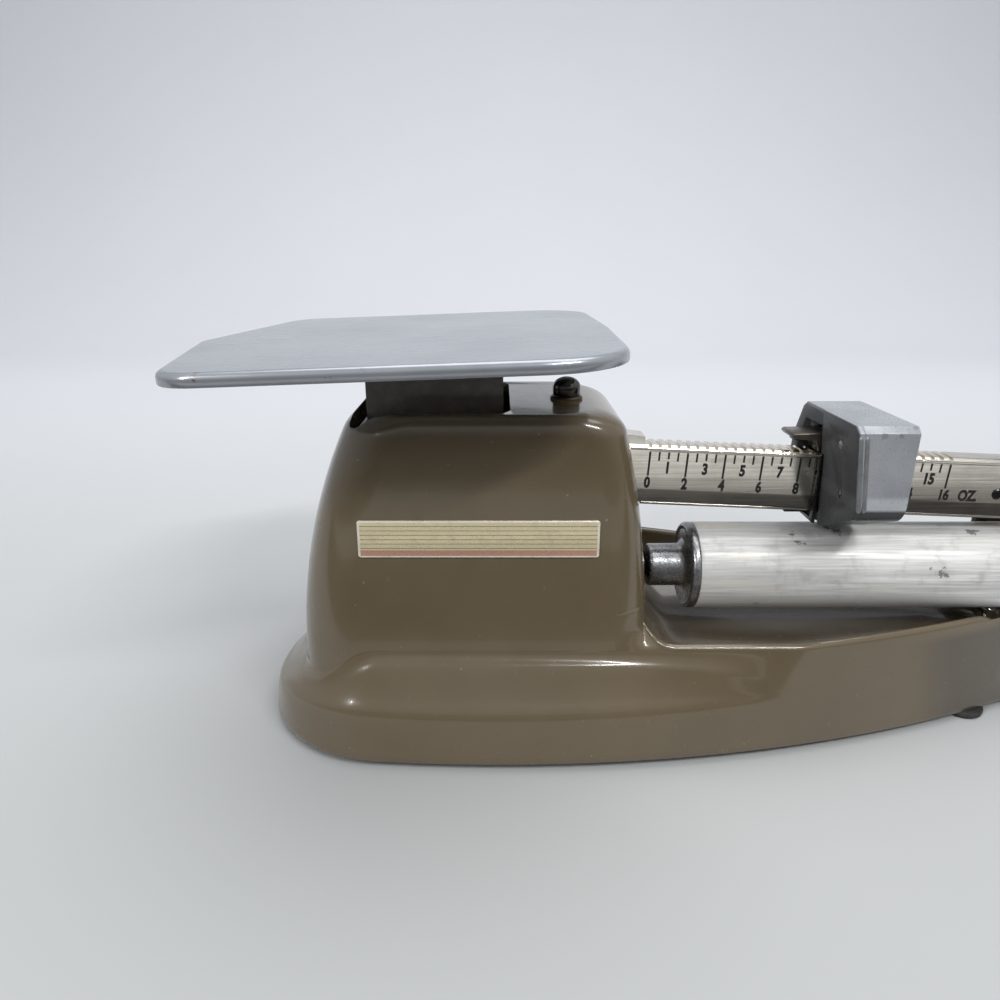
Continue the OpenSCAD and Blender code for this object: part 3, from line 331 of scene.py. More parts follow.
def cut(piece: bpy.types.Object, *tools: bpy.types.Object) -> bpy.types.Object:
    """Take the tools' solids away from a piece and remove the tools.

    Args:
        piece: The object to cut.
        tools: Closed solids.

    Returns:
        The cut object.
    """
    for tool in tools:
        step = piece.modifiers.new("cut", "BOOLEAN")
        step.operation = "DIFFERENCE"
        step.solver = "EXACT"
        step.object = tool
    applied(piece)
    for tool in tools:
        bpy.data.objects.remove(tool)
    return piece


def bevelled(piece: bpy.types.Object, width: float, segments: int,
             angle: float) -> bpy.types.Object:
    """Round a piece's corners with a small bevel.

    Args:
        piece: The object.
        width: Width of the bevel in millimetres.
        segments: Stretches across the bevel.
        angle: Angle in degrees above which an edge is rounded.

    Returns:
        The same object.
    """
    step = piece.modifiers.new("edge", "BEVEL")
    step.width = width * 0.001
    step.segments = segments
    step.limit_method = "ANGLE"
    step.angle_limit = math.radians(angle)
    step.use_clamp_overlap = True
    return applied(piece)


def copied(node: str, name: str) -> bpy.types.Object:
    """Copy a CAD node's mesh as clean faces: doubles merged, flat parts joined.

    Args:
        node: The CAD node.
        name: Name of the new object.

    Returns:
        The copy, which isn't riding on anything yet.
    """
    mesh = frame["nodes"][node].data.copy()
    mesh.name = name
    with reworked(mesh, COPY_MERGE) as work:
        bmesh.ops.dissolve_limit(work, angle_limit=math.radians(1.0), verts=work.verts,
                                 edges=work.edges)
    mesh.materials.clear()
    return placed(name, mesh)


def settle(piece: bpy.types.Object, body: str, slot: str, material: bpy.types.Material,
           replaces: tuple[str, ...] = ()) -> None:
    """Dress a piece and say where it belongs.

    Args:
        piece: The object.
        body: The CAD body it rides on.
        slot: The record's material slot.
        material: Its finish.
        replaces: CAD nodes that it stands for.
    """
    piece.data.materials.clear()
    piece.data.materials.append(material)
    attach(piece, body)
    if replaces:
        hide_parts(*replaces)
    log.info("%s rides on %s in %s, %d faces", piece.name, body, slot, len(piece.data.polygons))


class NodeBoard:
    """Places and joins shader nodes in a material or in a group."""

    def __init__(self, tree: bpy.types.NodeTree) -> None:
        """Keep the tree that the nodes go into."""
        self.tree = tree

    def add(self, kind: str, **values: object) -> bpy.types.Node:
        """Add a node and set its inputs and settings.

        Args:
            kind: The node's type, such as ShaderNodeMix.
            values: Settings by name, or inputs by name with underscores for spaces.

        Returns:
            The new node.
        """
        node = self.tree.nodes.new(kind)
        for name, value in values.items():
            if hasattr(node, name):
                setattr(node, name, value)
        for name, value in values.items():
            if not hasattr(node, name):
                self.feed(node.inputs[name.replace("_", " ")], value)
        return node

    def feed(self, socket: bpy.types.NodeSocket, value: object) -> None:
        """Link a socket to another one, or set it to a number or a colour."""
        if isinstance(value, bpy.types.NodeSocket):
            self.tree.links.new(value, socket)
        elif isinstance(value, tuple):
            socket.default_value = (*value, 1.0)
        else:
            socket.default_value = value

    def object_place(self) -> bpy.types.NodeSocket:
        """Give the Object coordinates."""
        return self.add("ShaderNodeTexCoord").outputs["Object"]

    def axes(self) -> bpy.types.NodeOutputs:
        """Give the Object coordinates one by one, as X, Y and Z."""
        return self.add("ShaderNodeSeparateXYZ", Vector=self.object_place()).outputs

    def ramp(self, factor: bpy.types.NodeSocket, low: float, high: float) -> bpy.types.NodeSocket:
        """Stretch a factor so that low becomes 0 and high becomes 1, clamped."""
        node = self.add("ShaderNodeMapRange", Value=factor, interpolation_type="SMOOTHSTEP")
        node.inputs["From Min"].default_value = low
        node.inputs["From Max"].default_value = high
        return node.outputs["Result"]

    def maths(self, operation: str, first: object, second: object = 0.0) -> bpy.types.NodeSocket:
        """Join two numbers by one of the Math node's operations."""
        node = self.tree.nodes.new("ShaderNodeMath")
        node.operation = operation
        for socket, value in zip(node.inputs, (first, second)):
            self.feed(socket, value)
        return node.outputs[0]

    def times(self, first: object, second: object) -> bpy.types.NodeSocket:
        """Multiply two numbers."""
        return self.maths("MULTIPLY", first, second)

    def inverse(self, share: object) -> bpy.types.NodeSocket:
        """Take a share from one."""
        return self.maths("SUBTRACT", 1.0, share)

    def fading(self, share: object, most: float) -> bpy.types.NodeSocket:
        """Give most where a share is 0 and nothing where it is 1."""
        return self.maths("SUBTRACT", most, self.times(share, most))

    def blend(self, factor: object, first: object, second: object) -> bpy.types.NodeSocket:
        """Mix two colours by a factor."""
        node = self.tree.nodes.new("ShaderNodeMix")
        node.data_type = "RGBA"
        for place, value in ((0, factor), (6, first), (7, second)):
            self.feed(node.inputs[place], value)
        return node.outputs[2]

    def cover(self, under: object, mask: object, most: float, over: Colour) -> bpy.types.NodeSocket:
        """Lay a colour over another by a mask, at most by a share."""
        return self.blend(self.times(mask, most), under, over)

    def between(self, factor: bpy.types.NodeSocket, low: float,
                high: float) -> bpy.types.NodeSocket:
        """Turn a factor into a number from low to high."""
        node = self.add("ShaderNodeMapRange", Value=factor)
        node.inputs["To Min"].default_value = low
        node.inputs["To Max"].default_value = high
        return node.outputs["Result"]


def effect_group(name: str, inputs: dict[str, float], outputs: tuple[str, ...]) -> tuple:
    """Start a shared shader group that reads Object coordinates.

    Args:
        name: The group's name.
        inputs: Number inputs with their usual values.
        outputs: Names of its number outputs.

    Returns:
        The board, the group's input node and its output node.
    """
    tree = bpy.data.node_groups.new(name, "ShaderNodeTree")
    for label, value in inputs.items():
        socket = tree.interface.new_socket(label, in_out="INPUT", socket_type="NodeSocketFloat")
        socket.default_value = value
    for label in outputs:
        tree.interface.new_socket(label, in_out="OUTPUT", socket_type="NodeSocketFloat")
    board = NodeBoard(tree)
    return board, board.add("NodeGroupInput"), board.add("NodeGroupOutput")


def stretch(board: NodeBoard, given: bpy.types.Node, out: bpy.types.Node, noise: bpy.types.Node,
            **settings: str) -> None:
    """Stretch a noise from Low to High into a group's Mask, and pass it on as its Height.

    Args:
        board: The group's board.
        given: The group's input node.
        out: The group's output node.
        noise: The noise node.
        settings: Settings of the Map Range node.
    """
    height = noise.outputs["Fac"]
    reach = board.add("ShaderNodeMapRange", Value=height, **settings)
    board.feed(reach.inputs["From Min"], given.outputs["Low"])
    board.feed(reach.inputs["From Max"], given.outputs["High"])
    board.feed(out.inputs["Mask"], reach.outputs["Result"])
    board.feed(out.inputs["Height"], height)


def blotch_group() -> bpy.types.NodeTree:
    """Soft cloudy patches: three octaves of noise, stretched to a mask."""
    board, given, out = effect_group(
        "cloudy_patches", {"Scale": 60.0, "Low": 0.4, "High": 0.7, "Detail": 3.0},
        ("Mask", "Height"))
    noise = board.add("ShaderNodeTexNoise", Vector=board.object_place(),
                      Scale=given.outputs["Scale"], Detail=given.outputs["Detail"], Roughness=0.6)
    stretch(board, given, out, noise, interpolation_type="SMOOTHSTEP")
    return board.tree


def speck_group() -> bpy.types.NodeTree:
    """Small scattered specks: cells whose centre lies nearer than a size, a share kept."""
    board, given, out = effect_group(
        "scattered_specks", {"Scale": 400.0, "Size": 0.2, "Share": 0.3}, ("Mask",))
    place = board.object_place()
    bend = board.add("ShaderNodeTexNoise", Vector=place, Scale=900.0)
    shifted = board.add("ShaderNodeVectorMath", operation="MULTIPLY_ADD")
    board.tree.links.new(bend.outputs["Color"], shifted.inputs[0])
    shifted.inputs[1].default_value = (0.0012, 0.0012, 0.0012)
    board.tree.links.new(place, shifted.inputs[2])
    cells = board.add("ShaderNodeTexVoronoi", Vector=shifted.outputs[0],
                      Scale=given.outputs["Scale"])
    near = board.maths("LESS_THAN", cells.outputs["Distance"], given.outputs["Size"])
    chance = board.add("ShaderNodeSeparateColor", Color=cells.outputs["Color"])
    kept = board.maths("LESS_THAN", chance.outputs["Red"], given.outputs["Share"])
    board.tree.links.new(board.times(near, kept), out.inputs["Mask"])
    return board.tree


def streak_group() -> bpy.types.NodeTree:
    """Drawn or rubbed streaks: noise read along stretched coordinates."""
    board, given, out = effect_group(
        "drawn_streaks",
        {"Along X": 12.0, "Along Y": 600.0, "Along Z": 600.0, "Low": 0.35, "High": 0.7},
        ("Mask", "Height"))
    parts = board.axes()
    joined = board.add("ShaderNodeCombineXYZ")
    for axis in "XYZ":
        long = board.times(parts[axis], given.outputs[f"Along {axis}"])
        board.tree.links.new(long, joined.inputs[axis])
    noise = board.add("ShaderNodeTexNoise", Vector=joined.outputs[0], Scale=1.0, Detail=4.0)
    stretch(board, given, out, noise)
    return board.tree


class Effect(Enum):
    """The shared effects that a finish may place."""

    BLOTCH = "blotch"
    SPECK = "speck"
    STREAK = "streak"


GROUPS = {Effect.BLOTCH: blotch_group(), Effect.SPECK: speck_group(), Effect.STREAK: streak_group()}


class FinishBoard(NodeBoard):
    """A material's board, with its surface shader at hand."""

    def __init__(self, name: str) -> None:
        """Start a material with one surface shader."""
        self.material = bpy.data.materials.new(name)
        self.material.use_nodes = True
        super().__init__(self.material.node_tree)
        self.surface = self.tree.nodes["Principled BSDF"]

    def effect(self, kind: Effect, **values: float) -> dict[str, bpy.types.NodeSocket]:
        """Place a shared effect with its own values and give its outputs by name."""
        node = self.tree.nodes.new("ShaderNodeGroup")
        node.node_tree = GROUPS[kind]
        for name, value in values.items():
            node.inputs[name.replace("_", " ")].default_value = value
        return {socket.name: socket for socket in node.outputs}

    def join(self, **values: object) -> None:
        """Set or link the surface shader's inputs by name."""
        for name, value in values.items():
            self.feed(self.surface.inputs[name.replace("_", " ")], value)

    def relief(self, height: bpy.types.NodeSocket, depth: float, strength: float = 1.0) -> None:
        """Feed a height in metres times depth to the surface's normal."""
        bump = self.add("ShaderNodeBump", Height=height, Distance=depth, Strength=strength)
        self.join(Normal=bump.outputs["Normal"])


@dataclass(frozen=True)
class Enamel:
    """Stoved gloss enamel: faint clouds, dust specks, orange peel and painted shade in the trough
    under the drum.
    """

    name: str = "taupe_enamel"
    colour: Colour = (0.122, 0.093, 0.054)
    deep: Colour = (0.107, 0.081, 0.046)
    dust: Colour = (0.30, 0.26, 0.21)
    oil: Colour = (0.030, 0.025, 0.018)
    # Where the painted shade under the drum lies: along x, out from the middle line and up from the
    # floor
    trough_x: Span = (-0.002, 0.006)
    trough_y: Span = (0.015, 0.022)
    trough_z: Span = (0.0262, 0.0300)

    def make(self) -> bpy.types.Material:
        """Build the material."""
        board = FinishBoard(self.name)
        cloud = board.effect(Effect.BLOTCH, Scale=30.0, Low=0.35, High=0.75)
        speck = board.effect(Effect.SPECK, Scale=420.0, Size=0.13, Share=0.05)
        rub = board.effect(Effect.BLOTCH, Scale=420.0, Low=0.45, High=0.8, Detail=5.0)
        peel = board.effect(Effect.BLOTCH, Scale=700.0, Low=0.3, High=0.7, Detail=1.0)
        colour = board.blend(cloud["Mask"], self.colour, self.deep)
        colour = board.cover(colour, speck["Mask"], 0.35, self.dust)
        # Painted shade under the drum: darker low in the trough, near its middle line and to the
        # right of a place along x
        parts = board.axes()
        deep = board.inverse(board.ramp(parts["Z"], *self.trough_z))
        wide = board.inverse(board.ramp(board.maths("ABSOLUTE", parts["Y"]), *self.trough_y))
        along = board.ramp(parts["X"], *self.trough_x)
        grime = board.times(board.times(deep, wide), board.times(along, 0.6))
        colour = board.blend(grime, colour, self.oil)
        board.join(Base_Color=colour, Roughness=board.between(rub["Mask"], 0.20, 0.30),
                   Coat_Weight=0.5, Coat_Roughness=0.07, IOR=1.5)
        board.relief(peel["Height"], 0.00002, 0.35)
        return board.material


@dataclass(frozen=True)
class PlainMetal:
    """Bare or plated metal: clouds of tarnish, drawn streaks and a fine grain."""

    name: str
    colour: Colour
    tarnish: Colour
    roughness: tuple[float, float] = (0.25, 0.45)
    metallic: float = 1.0
    cloud_scale: float = 90.0
    cloud: tuple[float, float] = (0.4, 0.75)
    streak: tuple[float, float, float] = (40.0, 900.0, 900.0)
    streak_share: float = 0.35
    grain: float = 0.000015
    # Leaned line below which the colour turns dark, and that colour: tarnish together with a
    # painted dark reflection
    foot: Point | None = None
    stained: Colour = (0.16, 0.145, 0.125)

    def make(self) -> bpy.types.Material:
        """Build the material; a foot of slope, low and high heights is painted dark: tarnish
        together with a painted dark reflection.
        """
        board = FinishBoard(self.name)
        cloud = board.effect(Effect.BLOTCH, Scale=self.cloud_scale, Low=self.cloud[0],
                             High=self.cloud[1], Detail=6.0)
        lines = board.effect(Effect.STREAK, Along_X=self.streak[0], Along_Y=self.streak[1],
                             Along_Z=self.streak[2])
        mask = board.maths("ADD", board.times(lines["Mask"], self.streak_share),
                           board.times(cloud["Mask"], 1.0 - self.streak_share))
        colour = board.blend(mask, self.colour, self.tarnish)
        # Painted dark reflection, with tarnish, on the part below the leaned line
        if self.foot:
            slope, low, high = self.foot
            parts = board.axes()
            rise = board.maths("ADD", parts["Z"], board.times(parts["X"], slope))
            stain = board.fading(board.ramp(rise, low, high), 0.75)
            colour = board.blend(stain, colour, self.stained)
        board.join(Base_Color=colour, Roughness=board.between(mask, *self.roughness),
                   Metallic=self.metallic)
        board.relief(lines["Height"], self.grain, 0.6)
        return board.material


@dataclass(frozen=True)
class RawCasting:
    """Rough cast metal: grainy relief with dark clouds and pits."""

    name: str
    colour: Colour
    pit: Colour
    roughness: tuple[float, float] = (0.38, 0.6)
    metallic: float = 0.85
    grain_scale: float = 1500.0
    grain: float = 0.00006

    def make(self) -> bpy.types.Material:
        """Build the material."""
        board = FinishBoard(self.name)
        grain = board.effect(Effect.BLOTCH, Scale=self.grain_scale, Low=0.35, High=0.7, Detail=4.0)
        cloud = board.effect(Effect.BLOTCH, Scale=120.0, Low=0.35, High=0.75, Detail=5.0)
        pits = board.effect(Effect.SPECK, Scale=900.0, Size=0.22, Share=0.25)
        colour = board.cover(self.colour, cloud["Mask"], 0.6, self.pit)
        colour = board.cover(colour, pits["Mask"], 0.5, self.pit)
        board.join(Base_Color=colour, Roughness=board.between(grain["Mask"], *self.roughness),
                   Metallic=self.metallic)
        board.relief(grain["Height"], self.grain, 0.7)
        return board.material


@dataclass(frozen=True)
class Moulded:
    """Dull dark skin of rubber, lacquer or ink with a fine matt grain."""

    name: str
    colour: Colour
    worn: Colour
    roughness: tuple[float, float] = (0.5, 0.75)
    metallic: float = 0.0
    grain: float = 0.00003

    def make(self) -> bpy.types.Material:
        """Build the material."""
        board = FinishBoard(self.name)
        cloud = board.effect(Effect.BLOTCH, Scale=260.0, Low=0.4, High=0.75, Detail=5.0)
        grain = board.effect(Effect.BLOTCH, Scale=2200.0, Low=0.3, High=0.7, Detail=2.0)
        board.join(Base_Color=board.blend(cloud["Mask"], self.colour, self.worn),
                   Roughness=board.between(grain["Mask"], *self.roughness), Metallic=self.metallic)
        board.relief(grain["Height"], self.grain, 0.5)
        return board.material


@dataclass(frozen=True)
class PanFinish:
    """Grey-blue lacquered sheet: soft clouds, hairline scratches, rust at the rim's edge."""

    name: str = "pan_lacquer"
    colour: Colour = (0.38, 0.40, 0.43)
    dull: Colour = (0.31, 0.33, 0.36)
    rust: Colour = (0.16, 0.06, 0.02)
    rim_y: Span = (0.0526, 0.0543)

    def make(self) -> bpy.types.Material:
        """Build the material."""
        board = FinishBoard(self.name)
        cloud = board.effect(Effect.BLOTCH, Scale=35.0, Low=0.35, High=0.75, Detail=4.0)
        hair = board.effect(Effect.STREAK, Along_X=30.0, Along_Y=1400.0, Along_Z=50.0, Low=0.55,
                            High=0.8)
        rust = board.effect(Effect.BLOTCH, Scale=330.0, Low=0.60, High=0.68, Detail=7.0)
        colour = board.blend(cloud["Mask"], self.colour, self.dull)
        parts = board.axes()
        edge = board.ramp(board.maths("ABSOLUTE", parts["Y"]), *self.rim_y)
        patch = board.effect(Effect.BLOTCH, Scale=60.0, Low=0.52, High=0.6, Detail=2.0)
        where = board.times(board.times(edge, patch["Mask"]), rust["Mask"])
        colour = board.blend(where, colour, self.rust)
        rough = board.between(board.times(hair["Mask"], 0.6), 0.24, 0.42)
        board.join(Base_Color=colour, Roughness=rough, Metallic=0.55)
        board.relief(hair["Height"], 0.00001, 0.4)
        return board.material


@dataclass(frozen=True)
class PoiseLacquer:
    """Blue-grey lacquer over a die casting: soft clouds and dark marks, a painted highlight band
    low down, and painted shade underneath and on the left face.
    """

    name: str = "poise_lacquer"
    colour: Colour = (0.38, 0.40, 0.425)
    dull: Colour = (0.29, 0.305, 0.33)
    rubbed: Colour = (0.62, 0.64, 0.67)
    grime: Colour = (0.030, 0.029, 0.028)
    # Heights where the painted shade underneath ends and where the painted highlight band lies, the
    # leaned place where the painted shade of the left face ends, and the lean
    under: tuple[float, float] = (0.0662, 0.0674)
    band: tuple[float, float] = (0.0692, 0.0710)
    side: tuple[float, float] = (0.0562, 0.0569)
    draft: float = 0.147

    def make(self) -> bpy.types.Material:
        """Build the material."""
        board = FinishBoard(self.name)
        cloud = board.effect(Effect.BLOTCH, Scale=110.0, Low=0.35, High=0.75, Detail=5.0)
        grain = board.effect(Effect.BLOTCH, Scale=1800.0, Low=0.3, High=0.7, Detail=3.0)
        marks = board.effect(Effect.SPECK, Scale=260.0, Size=0.20, Share=0.12)
        colour = board.cover(self.colour, cloud["Mask"], 0.7, self.dull)
        colour = board.cover(colour, marks["Mask"], 0.30, self.grime)
        parts = board.axes()
        z = parts["Z"]
        # Painted highlight: a lighter band just above the painted shade underneath
        high = board.ramp(z, *self.under)
        worn = board.times(high, board.inverse(board.ramp(z, *self.band)))
        colour = board.blend(board.times(worn, 0.7), colour, self.rubbed)
        # Painted shade: the underside and the left face are darkened, with less sheen
        leaned = board.maths("ADD", parts["X"], board.times(z, self.draft))
        unshaded = board.times(high, board.ramp(leaned, *self.side))
        colour = board.blend(board.fading(unshaded, 0.88), colour, self.grime)
        board.join(Base_Color=colour, Roughness=board.between(grain["Mask"], 0.26, 0.38),
                   Metallic=board.times(unshaded, 0.35),
                   Specular_IOR_Level=board.between(unshaded, 0.1, 0.5))
        board.relief(grain["Height"], 0.000012, 0.6)
        return board.material


@dataclass(frozen=True)
class DrumSkin:
    """Oxidised drawn aluminium: white-grey skin, long streaks from rubbing, a few dark stains and
    painted light on the lower side.
    """

    name: str = "drum_aluminium"
    colour: Colour = (0.54, 0.54, 0.525)
    bright: Colour = (0.78, 0.78, 0.76)
    dull: Colour = (0.28, 0.28, 0.27)
    stain: Colour = (0.10, 0.10, 0.10)
    warm: Colour = (0.62, 0.56, 0.44)
    # Heights over which the painted light on the lower side fades out
    clear_z: Span = (0.033, 0.042)

    def make(self) -> bpy.types.Material:
        """Build the material."""
        board = FinishBoard(self.name)
        streaks = ((18.0, 420.0, 0.38, 0.66), (70.0, 1900.0, 0.4, 0.7), (25.0, 160.0, 0.58, 0.72))
        long, fine, tint = (
            board.effect(Effect.STREAK, Along_X=along, Along_Y=across, Along_Z=across, Low=low,
                         High=high) for along, across, low, high in streaks)
        cloud = board.effect(Effect.BLOTCH, Scale=150.0, Low=0.5, High=0.72, Detail=6.0)
        stain = board.effect(Effect.BLOTCH, Scale=110.0, Low=0.66, High=0.69, Detail=5.0)
        colour = board.blend(long["Mask"], self.colour, self.bright)
        colour = board.cover(colour, fine["Mask"], 0.45, self.dull)
        colour = board.cover(colour, cloud["Mask"], 0.45, self.dull)
        colour = board.cover(colour, tint["Mask"], 0.5, self.warm)
        colour = board.cover(colour, stain["Mask"], 0.8, self.stain)
        parts = board.axes()
        # Painted light: the lower side is lightened towards the bright colour
        painted_light_share = board.fading(board.ramp(parts["Z"], *self.clear_z), 0.7)
        colour = board.blend(painted_light_share, colour, self.bright)
        board.join(Base_Color=colour, Roughness=board.between(fine["Mask"], 0.36, 0.5),
                   Metallic=0.1)
        board.relief(fine["Height"], 0.00002, 0.5)
        return board.material


@dataclass(frozen=True)
class FoilPlate:
    """Bare foil plate: bright edge, cream field with level lines over a copper band."""

    name: str = "plate_foil"
    cream: Colour = (0.74, 0.65, 0.43)
    edge: Colour = (0.85, 0.80, 0.66)
    line: Colour = (0.16, 0.13, 0.07)
    copper: Colour = (0.56, 0.31, 0.23)
    band_top: float = 0.0578
    pitch: float = 0.00112
    middle: tuple[float, float] = (-0.04577, 0.0606)
    half: Span = (0.0288, 0.00425)
    dirt: Colour = (0.30, 0.25, 0.17)

    def make(self) -> bpy.types.Material:
        """Build the material."""
        board = FinishBoard(self.name)
        parts = board.axes()
        saw = board.maths("FRACT", board.maths("DIVIDE", parts["Z"], self.pitch))
        line = board.maths("LESS_THAN", saw, 0.13)
        field = board.blend(line, self.cream, self.line)
        band = board.maths("LESS_THAN", parts["Z"], self.band_top)
        cloud = board.effect(Effect.BLOTCH, Scale=300.0, Low=0.45, High=0.8, Detail=5.0)
        colour = board.blend(band, field, self.copper)
        rim = []
        for axis, middle, half in zip("XZ", self.middle, self.half):
            away = board.maths("ABSOLUTE", board.maths("SUBTRACT", parts[axis], middle))
            rim.append(board.maths("GREATER_THAN", away, half))
        colour = board.blend(board.maths("MAXIMUM", *rim), colour, self.edge)
        colour = board.cover(colour, cloud["Mask"], 0.35, self.dirt)
        board.join(Base_Color=colour, Roughness=board.between(cloud["Mask"], 0.26, 0.42),
                   Metallic=0.35)
        board.relief(saw, 0.00001, 0.3)
        return board.material


class Finishes:
    """Every finish of the scale, by the record's slot."""

    TABLES = (
        (PlainMetal, {
            "steel_sheet": ("sheet_steel", (0.36, 0.36, 0.37), (0.20, 0.19, 0.18), (0.35, 0.55)),
            "screw_steel": ("screw_steel", (0.42, 0.42, 0.43), (0.22, 0.21, 0.20), (0.25, 0.4)),
            "hard_steel": ("ground_steel", (0.48, 0.48, 0.50), (0.30, 0.29, 0.28), (0.14, 0.3)),
            "dark_brass": ("dark_brass", (0.15, 0.12, 0.075), (0.06, 0.05, 0.035), (0.3, 0.5)),
            "black_steel": ("black_steel", (0.035, 0.033, 0.032), (0.015, 0.014, 0.013),
                            (0.2, 0.4), 0.9),
            "dark_chrome": ("dark_chrome", (0.14, 0.13, 0.12), (0.04, 0.035, 0.03), (0.08, 0.3)),
            "spring_brass": ("spring_brass", (0.55, 0.38, 0.13), (0.30, 0.20, 0.07), (0.2, 0.35)),
            "pawl_brown": ("pawl_bronze", (0.20, 0.175, 0.15), (0.06, 0.05, 0.042),
                           (0.22, 0.45), 0.9),
        }),
        (Moulded, {
            "rubber": ("foot_rubber", (0.018, 0.018, 0.018), (0.05, 0.048, 0.045), (0.6, 0.85)),
            "bracket_dark": ("bracket_lacquer", (0.13, 0.118, 0.106), (0.17, 0.155, 0.14),
                             (0.3, 0.5), 0.4),
            "ink": ("scale_ink", (0.010, 0.009, 0.008), (0.022, 0.020, 0.018), (0.35, 0.5)),
        }),
        (RawCasting, {
            "zinc_casting": ("grey_casting", (0.34, 0.35, 0.36), (0.17, 0.17, 0.17)),
            "cap_casting": ("cap_casting", (0.34, 0.345, 0.35), (0.10, 0.10, 0.105),
                            (0.22, 0.5), 0.95),
        }),
    )

    def __init__(self) -> None:
        """Make each material once."""
        made = {
            "enamel": Enamel(), "plate_foil": FoilPlate(), "pan_grey": PanFinish(),
            "poise_casting": PoiseLacquer(), "bare_aluminium": DrumSkin(),
            # The beam's face is painted dark on its lower part: tarnish together with a painted
            # dark reflection
            "nickel": PlainMetal("beam_nickel", (0.92, 0.87, 0.79), (0.74, 0.68, 0.58),
                                 (0.12, 0.24), streak=(25.0, 700.0, 1600.0), streak_share=0.6,
                                 foot=(0.0443, 0.0657, 0.0664)),
        }
        for kind, rows in self.TABLES:
            made |= {slot: kind(*row) for slot, row in rows.items()}
        self.by_slot = {slot: finish.make() for slot, finish in made.items()}

    def __getitem__(self, slot: str) -> bpy.types.Material:
        """Give the material of a slot."""
        return self.by_slot[slot]

    def dress_frame(self) -> None:
        """Give every CAD node the material of its slot in the record."""
        for row in frame["record"]["subparts"]:
            node = frame["nodes"][row["node"]]
            node.data.materials.clear()
            node.data.materials.append(self[row["material_slot"]])
            log.info("%s wears %s", row["node"], row["material_slot"])


def rounded_boxes(x0: Array, x1: Array, half: Array, left: float, right: float) -> Array:
    """Rounded rectangles, one for each level, with support points beside the corners.

    A corner is its centre plus radius times cosine and sine; a side is the straight
    line between two corners at set fractions of its length.

    Args:
        x0: Left end at each level.
        x1: Right end at each level.
        half: Half depth at each level.
        left: Radius of the left corners.
        right: Radius of the right corners.

    Returns:
        Levels by points by two.
    """
    x0, x1, half = np.broadcast_arrays(np.asarray(x0, float), x1, half)
    turn = np.radians(np.linspace(0.0, 90.0, 10))
    radius = np.array([right, left, left, right])
    cx = np.stack([x1 - right, x0 + left, x0 + left, x1 - right], axis=-1)
    cy = np.stack([half - right, half - left, left - half, right - half], axis=-1)
    angle = turn[None, :] + np.radians([[0.0], [90.0], [180.0], [270.0]])
    corner = np.stack([cx[..., None] + radius[:, None] * np.cos(angle),
                       cy[..., None] + radius[:, None] * np.sin(angle)], axis=-1)
    share = np.array([0.012, 0.1, 0.3, 0.5, 0.7, 0.9, 0.988])[:, None]
    start = corner[:, :, -1, None, :]
    end = np.roll(corner, -1, axis=1)[:, :, 0, None, :]
    side = start + (end - start) * share
    return np.concatenate([corner, side], axis=2).reshape(len(x0), -1, 2)


